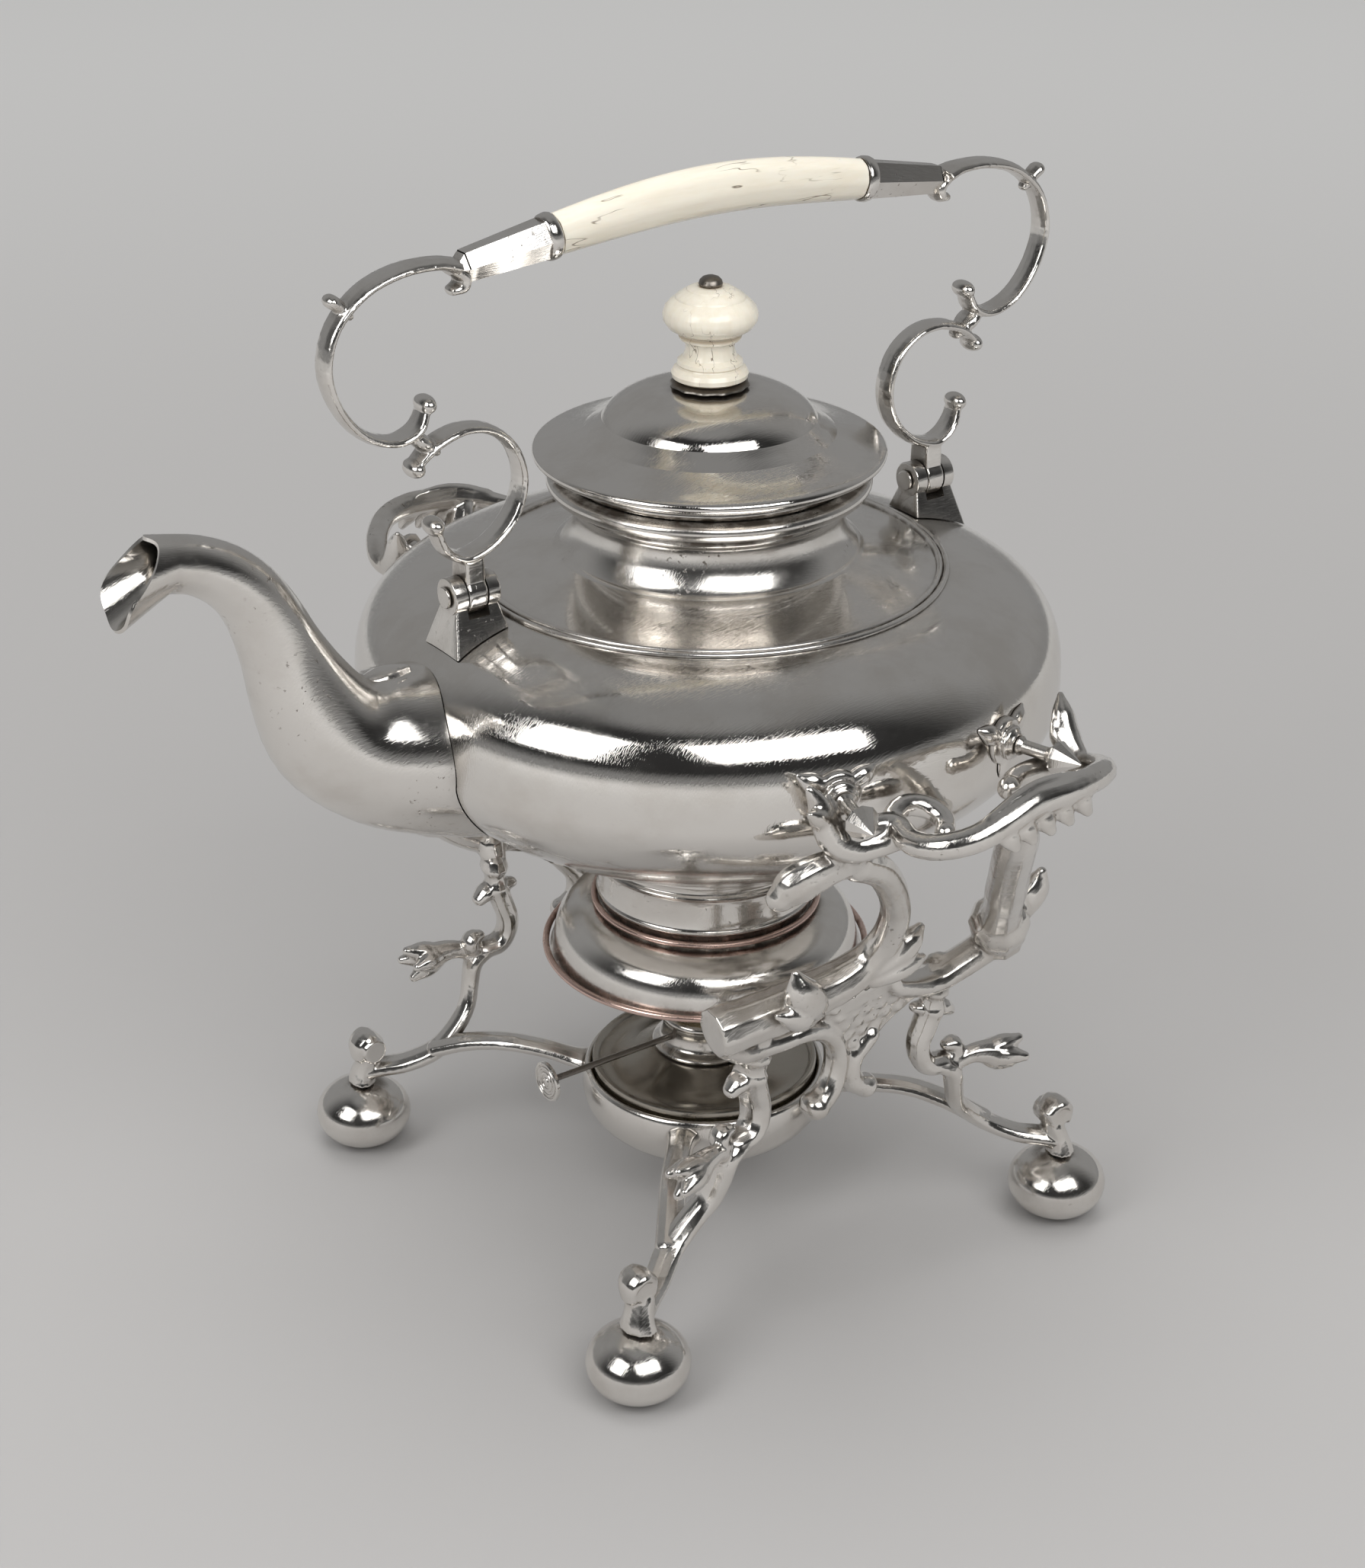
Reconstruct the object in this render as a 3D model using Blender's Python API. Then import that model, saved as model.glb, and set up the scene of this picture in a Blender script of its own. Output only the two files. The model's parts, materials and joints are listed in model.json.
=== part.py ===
"""Spirit kettle on its stand: a silver tea kettle that rests by four studs in two branch brackets,
over a spirit lamp with a wick winder. Metres, +Z up, the stand's feet on z = 0.
"""
import math

import bmesh
import bpy
from mathutils import Matrix, Vector

# Fits
GAP = 0.0003            # what touching pieces keep between them
RUN = 0.0004            # running clearance of the hinges and of the wick winder
CUT_OVERRUN = 0.004     # how far a cutter runs past what it cuts
SINK = 0.003            # how far a branch starts inside the one that carries it

# Kettle body
BODY_R = 0.1151
BODY_MID_Z = 0.1974
BODY_RISE = 0.0424
BODY_DROP = 0.0625
RISE_POWER = 3.6
DROP_POWER = 1.57
BODY_WALL = 0.0015
NECK_R = 0.0426
NECK_BASE_Z = 0.2457
WIRE_R = 0.0754
WIRE_W = 0.0032
TURN_STEPS = 24

# Neck collar, which the lid sits on
COLLAR_TOP_Z = 0.2682
COLLAR_RIM_R = 0.0520
COLLAR_WALL = 0.0016

# Lid
LID_EDGE_R = 0.0563
LID_TOP_Z = 0.2960
LID_WALL = 0.0013
LID_DOME_R = 0.0365
BEZEL_DEPTH = 0.0090
BEZEL_WALL = 0.0011
BEZEL_PLAY = 0.0006

# Knob and the rod that holds it
KNOB_R = 0.0150
KNOB_H = 0.0297
WASHER_R = 0.0128
WASHER_T = 0.0017
ROD_R = 0.0016
CAP_NUT_R = 0.0038
CAP_NUT_H = 0.0030
HEX_NUT_R = 0.0040
HEX_NUT_H = 0.0025

# Foot ring under the body
FOOT_NECK_R = 0.0368
FOOT_SEAT_R = 0.0392
FOOT_RIM_R = 0.0536
FOOT_RIM_Z = 0.0962
FOOT_WAIST_Z = 0.1158
FOOT_WALL = 0.0014
FOOT_WIRE_R = 0.0014

# Spout: its tube runs in the plane y = 0 towards -X
SPOUT_REACH = 0.1900
SPOUT_MOUTH_Z = 0.2788
SPOUT_ROOT_INSET = 0.0251
SPOUT_ROOT_X = BODY_R - SPOUT_ROOT_INSET
SPOUT_ROOT_Z = 0.1970
SPOUT_ROOT_R = 0.0300
SPOUT_MOUTH_R = 0.0086
SPOUT_WALL = 0.0012
SPOUT_LIP = 0.0150
SPOUT_HOLE_R = 0.0180

# Bail handle and its hinges
HINGE_INSET = 0.0254
HINGE_X = BODY_R - HINGE_INSET
HINGE_Z = 0.2473
KNUCKLE_R = 0.0060
KNUCKLE_HALF = 0.0033
BARREL_HALF = 0.0080
PIN_R = 0.0018
PIN_HEAD_R = 0.0034
PIN_HEAD_T = 0.0010
LUG_BASE_W = 0.0220
LUG_BASE_D = 0.0200
LUG_TOP_W = 0.0100
ARM_RISE = 0.1042
ARM_SWELL = 0.0456
ARM_W = 0.0066
ARM_T = 0.0028
FERRULE_OUT_X = 0.0885
FERRULE_IN_X = 0.0570
FERRULE_OUT_Z = 0.3486
FERRULE_IN_Z = 0.3530
FERRULE_OUT_H = 0.0096
FERRULE_IN_H = 0.0134
FERRULE_W_SHARE = 0.86
FERRULE_WALL = 0.0010
SOCKET_DEPTH = 0.0080
GRIP_ARCH = 0.0110
GRIP_MID_H = 0.0140

# Studs on the body that hang in the brackets
STUD_TURN = math.radians(16.2)
STUD_Z = 0.2075
STUD_STAND = 0.0274
STUD_TIP_R = BODY_R + STUD_STAND
STUD_CONE_R = 0.0054
STUD_CONE_L = 0.0088
STUD_SHAFT_R = 0.0023
BOSS_R = 0.0075
BOSS_STAND = 0.0054
BOSS_FACE_R = BODY_R + BOSS_STAND

# Stand
FOOT_REACH = 0.0888
BALL_R = 0.0170
BALL_H = 0.0262
BALL_FLAT_R = 0.0050
LEG_TOP_A = 0.0375
LEG_TOP_B = 0.0775
LEG_TOP_Z = 0.1045
LEG_W = 0.0070
LEG_T = 0.0036
STRUT_W = 0.0062
STRUT_T = 0.0036
BRANCH_R = 0.0035
LOG_R = 0.0078
TRUNK_R = 0.0065
PANEL_T = 0.0032
LOOP_STAND = 0.0399
LOOP_REACH = BODY_R + LOOP_STAND
LOOP_Z = 0.2125

# Lamp bowl and lamp
BOWL_RIM_R = 0.0414
BOWL_RIM_Z = 0.0480
BOWL_BASE_Z = 0.0240
BOWL_WALL = 0.0013
LAMP_PLAY = 0.0008
LAMP_WALL = 0.0010
LAMP_TOP_Z = 0.0505
LAMP_DISH_RISE = 0.0060
LAMP_COLLAR_R = 0.0150
LAMP_COLLAR_WALL = 0.0016
LAMP_COLLAR_TOP_Z = 0.0690
LAMP_FLANGE_R = 0.0180
WICK_W = 0.0140
WICK_T = 0.0022
WICK_TOP_Z = 0.0760
WICK_L = 0.0400
SLEEVE_WALL = 0.0010
SLEEVE_H = 0.0060
PLATE_T = 0.0014
KEY_Z = 0.0625
KEY_R = 0.0011
KEY_REACH = 0.0640
KEY_DISC_R = 0.0070
KEY_DISC_T = 0.0016
KEY_HUB_R = 0.0022
WHEEL_R = 0.0028
WHEEL_T = 0.0016
WHEEL_PLACE_SHARE = 0.30

# Outlines: each pair or triple is a share of the sizes named beside it
COLLAR_SHARES = [(0.34, 0.00), (0.16, 0.08), (0.03, 0.22), (0.00, 0.38), (0.04, 0.52), (0.22, 0.60),
                 (0.20, 0.68), (0.34, 0.76), (0.86, 0.83), (1.00, 0.90), (0.92, 0.97), (0.76, 1.00)]
LID_COVE_SHARES = [(0.68, 0.00), (0.72, 0.10), (0.90, 0.16), (0.96, 0.24), (1.00, 0.27), (0.98, 0.33)]
LID_DOME_SHARES = [(0.93, 0.20), (0.80, 0.46), (0.60, 0.70), (0.36, 0.90), (0.12, 1.00)]
KNOB_SHARES = [(0.74, 0.00), (0.82, 0.06), (0.80, 0.14), (0.60, 0.20), (0.52, 0.28), (0.54, 0.38),
               (0.66, 0.43), (0.62, 0.48), (0.86, 0.54), (1.00, 0.66), (0.96, 0.78), (0.74, 0.88), (0.52, 0.92), (0.40, 1.00)]
FOOT_NECK_SHARES = [(0.80, 0.96), (0.30, 0.88), (0.20, 0.72), (0.62, 0.66), (0.56, 0.58), (0.10, 0.48),
                    (0.00, 0.30), (0.00, 0.12)]
FOOT_BELL_SHARES = [(0.00, 0.905), (0.14, 0.89), (0.40, 0.82), (0.72, 0.62), (0.88, 0.36), (0.94, 0.14),
                    (1.00, 0.00)]
BOWL_SHARES = [(1.000, 1.00), (1.036, 0.80), (1.030, 0.58), (0.930, 0.30), (0.720, 0.08), (0.440, 0.00)]
FINIAL_SHARES = [(1.00, 0.00), (1.00, 0.16), (0.80, 0.62), (0.45, 0.88), (0.20, 1.00)]
SPOUT_SHARES = [  # x from root to mouth, z from root to mouth, radius from mouth to root
    (-0.14, 0.000, 1.000), (0.10, 0.000, 0.985), (0.22, 0.010, 0.900), (0.34, 0.090, 0.760), (0.46, 0.190, 0.580),
    (0.54, 0.300, 0.400), (0.60, 0.430, 0.270), (0.66, 0.590, 0.190), (0.72, 0.740, 0.120), (0.80, 0.870, 0.080),
    (0.90, 0.960, 0.030), (1.00, 1.000, 0.000)]
ARM_LOWER_SHARES = [  # x from the hinge over the swell, z from the hinge over the rise, width, thickness
    (0.22, 0.205, 1.25, 0.7), (0.15, 0.140, 1.05, 1.0), (0.01, 0.118, 0.95, 1.1), (-0.19, 0.150, 0.95, 1.0),
    (-0.36, 0.225, 0.90, 1.0), (-0.42, 0.328, 0.90, 1.0), (-0.34, 0.428, 0.90, 1.0), (-0.17, 0.490, 0.95, 1.0),
    (0.03, 0.506, 1.05, 1.0), (0.24, 0.480, 1.20, 0.9), (0.40, 0.425, 1.35, 0.7)]
ARM_UPPER_SHARES = [
    (0.30, 0.590, 1.35, 0.7), (0.37, 0.530, 1.20, 0.9), (0.54, 0.510, 1.05, 1.0), (0.76, 0.552, 0.95, 1.0),
    (0.93, 0.640, 0.95, 1.0), (1.00, 0.755, 0.95, 1.0), (0.92, 0.870, 0.95, 1.0), (0.71, 0.957, 0.95, 1.1),
    (0.44, 0.996, 1.00, 1.2), (0.16, 0.998, 1.10, 1.4), (0.00, 0.975, 1.20, 1.6)]
ARM_JOIN_SHARE = (0.346, 0.4923)
GRIP_SHARES = [0.06, 0.30, 0.65, 1.00]  # of the way from the ferrule to the grip's middle
LEG_SHARES = [  # shares of the foot's reach, twice, and of the leg's height, then width and thickness
    (0.422, 0.872, 1.000, 1.10, 1.9), (0.422, 0.872, 0.960, 0.95, 1.5), (0.420, 0.865, 0.915, 1.15, 1.9),
    (0.408, 0.858, 0.868, 1.05, 1.2), (0.380, 0.848, 0.790, 1.00, 1.1), (0.386, 0.850, 0.725, 1.05, 1.1),
    (0.428, 0.855, 0.680, 1.10, 1.2), (0.490, 0.862, 0.678, 1.05, 1.4), (0.532, 0.868, 0.640, 0.95, 1.2),
    (0.556, 0.862, 0.570, 0.85, 1.0), (0.585, 0.842, 0.500, 0.85, 0.9), (0.643, 0.826, 0.440, 0.90, 0.9),
    (0.742, 0.832, 0.358, 1.00, 1.0), (0.847, 0.896, 0.306, 1.05, 1.0), (0.930, 0.950, 0.292, 1.10, 1.0),
    (0.985, 0.988, 0.285, 1.15, 1.3)]
POST_SHARES = [(0.975, 0.980, 0.335, 1.15, 1.5), (0.994, 0.994, 0.290, 1.20, 1.9), (1.000, 1.000, 0.235, 1.30, 2.2)]
TULIP_SHARES = [(0.510, 0.872, 0.655, 0.55, 1.0), (0.590, 0.896, 0.690, 0.80, 1.5), (0.670, 0.918, 0.685, 1.15, 2.3),
                (0.752, 0.936, 0.660, 1.60, 3.5)]
LEG_BALL_SHARES = [(0.478, 0.862, 0.888, 1.15), (0.546, 0.862, 0.716, 1.10), (0.975, 0.966, 0.376, 1.60)]
STRUT_SHARES = [(0.735, 0.822, 0.368), (0.655, 0.715, 0.418), (0.560, 0.590, 0.446), (0.455, 0.470, 0.440),
                (0.328, 0.326, 0.408)]
# Bracket members: shares of the foot's reach, of the way out to the loop's reach, and of the loop's height,
# then of the radius. The legs' tops lie at the base share of the way out.
BRACKET_BASE_SHARE = 0.5
LOG_SHARES = [
    (-0.640, 0.541, 0.568, 1.00), (-0.520, 0.548, 0.572, 1.00), (-0.405, 0.555, 0.576, 1.00),
    (-0.270, 0.561, 0.584, 0.96), (-0.135, 0.568, 0.594, 0.86), (-0.010, 0.580, 0.612, 0.72),
    (0.070, 0.600, 0.640, 0.62), (0.096, 0.628, 0.678, 0.56), (0.070, 0.660, 0.730, 0.50),
    (-0.020, 0.698, 0.790, 0.48), (-0.155, 0.732, 0.846, 0.50), (-0.310, 0.752, 0.880, 0.58)]
LEAF_END_SHARES = [
    (-0.300, 0.754, 0.880, 0.58, 0.50), (-0.440, 0.756, 0.888, 0.95, 0.60), (-0.590, 0.742, 0.874, 0.95, 0.55),
    (-0.690, 0.722, 0.846, 0.30, 0.20)]
STRAP_SHARES = [
    (-0.570, 0.530, 0.528, 0.90), (-0.500, 0.520, 0.510, 1.05), (-0.420, 0.513, 0.504, 1.20),
    (-0.320, 0.515, 0.504, 1.05), (-0.220, 0.520, 0.506, 1.00), (-0.120, 0.512, 0.488, 0.95),
    (-0.052, 0.504, 0.454, 0.95), (-0.036, 0.502, 0.414, 0.95), (-0.062, 0.502, 0.376, 1.05),
    (-0.120, 0.502, 0.350, 1.30)]
TAIL_SHARES = [(0.100, 0.512, 0.452, 0.80), (0.030, 0.504, 0.414, 0.90), (0.030, 0.503, 0.376, 1.00),
               (0.085, 0.503, 0.358, 1.20)]
LOWER_SHARES = [
    (0.165, 0.545, 0.546, 0.95), (0.250, 0.536, 0.526, 1.15), (0.350, 0.530, 0.516, 1.25),
    (0.450, 0.535, 0.526, 1.25), (0.560, 0.555, 0.552, 1.30), (0.620, 0.574, 0.578, 1.40)]
COLLAR_STUB_SHARES = [(0.640, 0.556, 0.562, 1.25), (0.580, 0.590, 0.596, 1.50), (0.520, 0.634, 0.640, 1.40)]
TRUNK_SHARES = [(0.580, 0.590, 0.596, 1.00), (0.440, 0.690, 0.690, 1.00), (0.250, 0.822, 0.812, 1.00),
                (0.090, 0.940, 0.925, 0.96), (0.030, 0.975, 0.972, 0.75)]
LOOP_SHARES = [
    (-0.265, 0.812, 0.948, 1.00), (-0.280, 0.880, 0.944, 1.00), (-0.245, 0.942, 0.952, 1.03),
    (-0.155, 0.982, 0.966, 1.08), (-0.045, 0.996, 0.984, 1.20), (0.070, 0.994, 0.998, 1.28),
    (0.200, 0.998, 1.000, 1.15), (0.320, 0.988, 1.000, 1.08), (0.420, 0.958, 0.992, 1.03),
    (0.500, 0.905, 0.974, 1.00), (0.530, 0.850, 0.957, 1.00), (0.490, 0.800, 0.950, 1.00)]
LOOP_END_SHARES = [(0.240, 0.812, 0.944, 0.85)]
TWIG_SHARES = [(-0.270, 0.800, 0.946, 0.80), (-0.180, 0.782, 0.958, 0.95), (-0.105, 0.800, 0.952, 0.95),
               (-0.085, 0.838, 0.942, 0.90), (-0.120, 0.868, 0.934, 0.70)]
HOOK_SHARES = [
    (-0.285, 0.835, 0.938, 0.95), (-0.395, 0.790, 0.922, 1.15), (-0.485, 0.777, 0.940, 1.10),
    (-0.535, 0.765, 0.980, 1.00), (-0.565, 0.758, 1.010, 0.85), (-0.615, 0.755, 1.036, 0.30)]
HOOK_STEM_SHARES = [(-0.350, 0.755, 0.884, 0.95), (-0.390, 0.782, 0.918, 0.95)]
BUD_SHARES = [
    [(-0.215, 0.586, 0.570, 0.90), (-0.245, 0.618, 0.602, 1.45), (-0.300, 0.640, 0.644, 1.15),
     (-0.340, 0.642, 0.680, 0.35)],
    [(0.030, 0.594, 0.602, 0.80), (0.115, 0.607, 0.626, 1.30), (0.190, 0.614, 0.650, 1.05),
     (0.235, 0.614, 0.664, 0.35)],
    [(0.530, 0.830, 0.957, 0.80), (0.535, 0.785, 0.980, 1.05), (0.545, 0.755, 1.010, 0.95),
     (0.562, 0.735, 1.034, 0.30)],
    [(0.640, 0.600, 0.610, 1.00), (0.715, 0.612, 0.646, 1.45), (0.765, 0.628, 0.676, 0.60)],
    [(-0.050, 0.990, 0.972, 1.15), (0.100, 0.995, 0.977, 1.50), (0.240, 0.993, 0.983, 1.35),
     (0.350, 0.986, 0.986, 0.60)]]
PANEL_SHARES = [(-0.170, 0.545, 0.560), (0.070, 0.546, 0.560), (0.400, 0.516, 0.502), (0.180, 0.508, 0.462),
                (0.070, 0.504, 0.420), (0.020, 0.503, 0.392), (-0.060, 0.503, 0.405), (-0.070, 0.506, 0.452),
                (-0.120, 0.512, 0.500)]

COLOURS = {  # base colour, metallic, roughness
    "silver": ((0.78, 0.76, 0.73), 1.0, 0.16),
    "dark_silver": ((0.30, 0.28, 0.26), 1.0, 0.34),
    "copper_wear": ((0.62, 0.38, 0.32), 1.0, 0.26),
    "ivory": ((0.86, 0.81, 0.70), 0.0, 0.34),
    "steel": ((0.20, 0.19, 0.18), 1.0, 0.30),
    "brass": ((0.55, 0.45, 0.26), 1.0, 0.30),
    "wick": ((0.80, 0.76, 0.66), 0.0, 0.90)}


def clear_scene():
    for obj in list(bpy.data.objects):
        bpy.data.objects.remove(obj, do_unlink=True)


def material(name):
    if name in bpy.data.materials:
        return bpy.data.materials[name]
    colour, metallic, roughness = COLOURS[name]
    made = bpy.data.materials.new(name)
    made.use_nodes = True
    shader = made.node_tree.nodes["Principled BSDF"]
    shader.inputs["Base Color"].default_value = (*colour, 1.0)
    shader.inputs["Metallic"].default_value = metallic
    shader.inputs["Roughness"].default_value = roughness
    return made


def empty(name, place, parent=None):
    obj = bpy.data.objects.new(name, None)
    bpy.context.collection.objects.link(obj)
    obj.location = place
    if parent:
        obj.parent = parent
        obj.location = Vector(place) - world_place(parent)
    return obj


def world_place(obj):
    place = Vector((0, 0, 0))
    while obj:
        place += obj.location
        obj = obj.parent
    return place


def add(name, mesh, finish, parent):
    """Links a mesh, given in the kettle's frame, as a node whose origin is its parent's axis."""
    mesh.transform(Matrix.Translation(-world_place(parent)))
    mesh.name = name
    mesh.materials.clear()
    mesh.materials.append(material(finish))
    mesh.shade_smooth()
    mesh.set_sharp_from_angle(angle=math.radians(35))
    obj = bpy.data.objects.new(name, mesh)
    bpy.context.collection.objects.link(obj)
    obj.parent = parent
    return obj


def to_mesh(bm):
    bmesh.ops.recalc_face_normals(bm, faces=bm.faces[:])
    mesh = bpy.data.meshes.new("shape")
    bm.to_mesh(mesh)
    bm.free()
    return mesh


def turned(outline, steps=TURN_STEPS):
    """Spins an outline of (radius, height) about Z. It is closed unless both its ends are on the axis."""
    bm = bmesh.new()
    verts = [bm.verts.new((r, 0, z)) for r, z in outline]
    pairs = list(zip(verts, verts[1:]))
    if outline[0][0] > 0 or outline[-1][0] > 0:
        pairs.append((verts[-1], verts[0]))
    edges = [bm.edges.new(pair) for pair in pairs]
    bmesh.ops.spin(bm, geom=verts + edges, cent=(0, 0, 0), axis=(0, 0, 1), angle=math.tau, steps=steps,
                   use_merge=True)
    bmesh.ops.remove_doubles(bm, verts=bm.verts[:], dist=1e-7)
    return to_mesh(bm)


def shell(outer, wall):
    """Closed outline of a turned wall: the outer line, then the same line moved inwards by the wall."""
    inner = []
    for i, (r, z) in enumerate(outer):
        before, after = outer[max(i - 1, 0)], outer[min(i + 1, len(outer) - 1)]
        dr, dz = after[0] - before[0], after[1] - before[1]
        length = math.hypot(dr, dz)
        inner.append((max(r - dz / length * wall, 0), z + dr / length * wall) if r > 0 else (0, z + wall))
    return outer + inner[::-1]


def smooth(points, per=3):
    """Catmull-Rom curve through points of any number of coordinates."""
    ends = [[2 * a - b for a, b in zip(points[0], points[1])],
            [2 * a - b for a, b in zip(points[-1], points[-2])]]
    line = [ends[0], *points, ends[1]]
    result = []
    for i in range(1, len(line) - 2):
        for k in range(per):
            t = k / per
            weights = (-t + 2 * t * t - t ** 3, 2 - 5 * t * t + 3 * t ** 3,
                       t + 4 * t * t - 3 * t ** 3, t ** 3 - t * t)
            result.append([sum(w * p[n] for w, p in zip(weights, line[i - 1:i + 3])) / 2
                           for n in range(len(points[0]))])
    return result + [list(points[-1])]


def rings_to_mesh(rings, caps=True):
    bm = bmesh.new()
    rows = [[bm.verts.new(co) for co in ring] for ring in rings]
    for low, high in zip(rows, rows[1:] if caps else rows[1:] + rows[:1]):
        for i in range(len(low)):
            j = (i + 1) % len(low)
            bm.faces.new((low[i], low[j], high[j], high[i]))
    if caps:
        bm.faces.new(rows[0])
        bm.faces.new(rows[-1])
    return to_mesh(bm)


def section_rings(stations, across, sides, grow=0.0):
    """Ellipses along stations of (x, y, z, half width, half thickness). The width lies along across."""
    centres = [Vector(s[:3]) for s in stations]
    last = len(centres) - 1
    rings = []
    for i, station in enumerate(stations):
        tangent = (centres[min(i + 1, last)] - centres[max(i - 1, 0)]).normalized()
        side = Vector(across) - tangent * tangent.dot(Vector(across))
        side.normalize()
        up = tangent.cross(side)
        turns = [math.tau * (k + 0.5) / sides for k in range(sides)]
        wide, thick = station[3] + grow, station[4] + grow
        rings.append([centres[i] + side * wide * math.cos(a) + up * thick * math.sin(a) for a in turns])
    return rings


def swept(points, across=(0, 1, 0), sides=8, per=3, grow=0.0, rounded=True):
    """Closed bar along a smooth curve. Points are (x, y, z, half width[, half thickness])."""
    full = [p if len(p) > 4 else (*p, p[3]) for p in points]
    stations = smooth(full, per)
    rings = section_rings(stations, across, sides, grow)
    if rounded:
        rings = [end_ring(rings[0], rings[1]), *rings, end_ring(rings[-1], rings[-2])]
    return rings_to_mesh(rings)


def end_ring(ring, inside):
    """A smaller ring just past an end, which rounds it."""
    middle = sum(ring, Vector()) / len(ring)
    out = (middle - sum(inside, Vector()) / len(inside)).normalized()
    radius = min((co - middle).length for co in ring)
    return [middle + (co - middle) * 0.55 + out * radius * 0.5 for co in ring]


def ball(place, radius, height=None, segments=12):
    bm = bmesh.new()
    bmesh.ops.create_uvsphere(bm, u_segments=segments, v_segments=segments // 2, radius=radius)
    bmesh.ops.scale(bm, vec=(1, 1, (height or radius) / radius), verts=bm.verts[:])
    bmesh.ops.translate(bm, vec=place, verts=bm.verts[:])
    return to_mesh(bm)


def rod(start, end, radius, end_radius=None, segments=16):
    start, end = Vector(start), Vector(end)
    bm = bmesh.new()
    bmesh.ops.create_cone(bm, cap_ends=True, segments=segments, radius1=radius,
                          radius2=radius if end_radius is None else end_radius, depth=(end - start).length)
    turn = (end - start).to_track_quat('Z', 'Y').to_matrix().to_4x4()
    bmesh.ops.transform(bm, matrix=Matrix.Translation((start + end) / 2) @ turn, verts=bm.verts[:])
    return to_mesh(bm)


def frustum(low, low_size, high, high_size):
    """Four-sided block between two level rectangles."""
    rings = []
    for centre, size in ((low, low_size), (high, high_size)):
        rings.append([Vector(centre) + Vector((sx * size[0] / 2, sy * size[1] / 2, 0))
                      for sx, sy in ((-1, -1), (1, -1), (1, 1), (-1, 1))])
    return rings_to_mesh(rings)


def combined(meshes, operation='UNION'):
    """The first mesh joined with the others, or with the others cut out of it."""
    base = bpy.data.objects.new("base", meshes[0])
    tools = [bpy.data.objects.new("tool", mesh) for mesh in meshes[1:]]
    for obj in [base, *tools]:
        bpy.context.collection.objects.link(obj)
    for tool in tools:
        modifier = base.modifiers.new("join", 'BOOLEAN')
        modifier.operation = operation
        modifier.object = tool
        modifier.solver = 'EXACT'
    bpy.context.view_layer.update()
    result = bpy.data.meshes.new_from_object(base.evaluated_get(bpy.context.evaluated_depsgraph_get()))
    for obj in [base, *tools]:
        bpy.data.objects.remove(obj, do_unlink=True)
    return result


def placed(mesh, matrix):
    mesh.transform(matrix)
    if matrix.determinant() < 0:
        mesh.flip_normals()
    return mesh


def sized(shares, *sizes):
    """Each share times the size it belongs to. Shares past the last size stay as they are."""
    return [[s * size for s, size in zip(row, sizes)] + list(row[len(sizes):]) for row in shares]


def between(shares, low_r, span_r, low_z, span_z):
    return [(low_r + a * span_r, low_z + b * span_z) for a, b in shares]


def body_radius(z):
    up = z > BODY_MID_Z
    height, power = (BODY_RISE, RISE_POWER) if up else (BODY_DROP, DROP_POWER)
    return BODY_R * (1 - min(abs(z - BODY_MID_Z) / height, 1) ** power) ** (1 / power)


def body_height(r, up=True):
    """Height of the body's outer surface at a radius, with the sloping shoulder inside the wire."""
    if up and r < WIRE_R:
        edge = body_height(WIRE_R)
        return edge + (WIRE_R - r) / (WIRE_R - NECK_R) * (NECK_BASE_Z - edge)
    height, power = (BODY_RISE, RISE_POWER) if up else (BODY_DROP, DROP_POWER)
    rise = height * (1 - (r / BODY_R) ** power) ** (1 / power)
    return BODY_MID_Z + rise if up else BODY_MID_Z - rise


def body_line(upper_steps=7, lower_steps=9):
    """Outer line from the pole underneath, over the equator, to the neck."""
    line = []
    for i in range(lower_steps + 1):
        t = math.pi / 2 * (1 - i / lower_steps)
        line.append((BODY_R * math.cos(t) ** (2 / DROP_POWER),
                     BODY_MID_Z - BODY_DROP * math.sin(t) ** (2 / DROP_POWER)))
    line[0] = (0, BODY_MID_Z - BODY_DROP)
    last = math.acos((WIRE_R / BODY_R) ** (RISE_POWER / 2))
    for i in range(1, upper_steps + 1):
        t = last * i / upper_steps
        line.append((BODY_R * math.cos(t) ** (2 / RISE_POWER),
                     BODY_MID_Z + BODY_RISE * math.sin(t) ** (2 / RISE_POWER)))
    return line + [(NECK_R, NECK_BASE_Z)]


def body_form(grow):
    """Solid of the body's outer shape, for seating what is fixed to it."""
    line = body_line()
    grown = [(0, line[0][1] - grow)]
    for before, (r, z), after in zip(line, line[1:], line[2:]):
        dr, dz = after[0] - before[0], after[1] - before[1]
        length = math.hypot(dr, dz)
        grown.append((r + dz / length * grow, z - dr / length * grow))
    return turned(grown + [(NECK_R, NECK_BASE_Z + grow), (0, NECK_BASE_Z + grow)])


def kettle_body():
    line = body_line()
    hollow = turned(shell(line, BODY_WALL))
    hole = rod((-BODY_R - CUT_OVERRUN, 0, SPOUT_ROOT_Z), (-SPOUT_ROOT_X, 0, SPOUT_ROOT_Z), SPOUT_HOLE_R)
    return combined([hollow, hole], 'DIFFERENCE')


def shoulder_wire():
    ends = (WIRE_R - WIRE_W / 2, WIRE_R + WIRE_W / 2)
    low = [(r, body_height(r) + GAP) for r in ends]
    top = [(WIRE_R + WIRE_W / 2 * math.cos(a), body_height(WIRE_R) + GAP + WIRE_W / 2 * math.sin(a))
           for a in (math.radians(40), math.radians(90), math.radians(140))]
    middle = (WIRE_R, body_height(WIRE_R) + GAP)
    return turned([low[0], middle, low[1], *top])


def neck_collar():
    base_z = NECK_BASE_Z + GAP
    outer = between(COLLAR_SHARES, NECK_R, COLLAR_RIM_R - NECK_R, base_z, COLLAR_TOP_Z - base_z)
    outer[0] = (outer[0][0], body_height(outer[0][0]) + GAP)
    bore = NECK_R - COLLAR_WALL
    return turned([(bore, base_z), (NECK_R, base_z), *outer, (bore, COLLAR_TOP_Z)])


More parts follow.
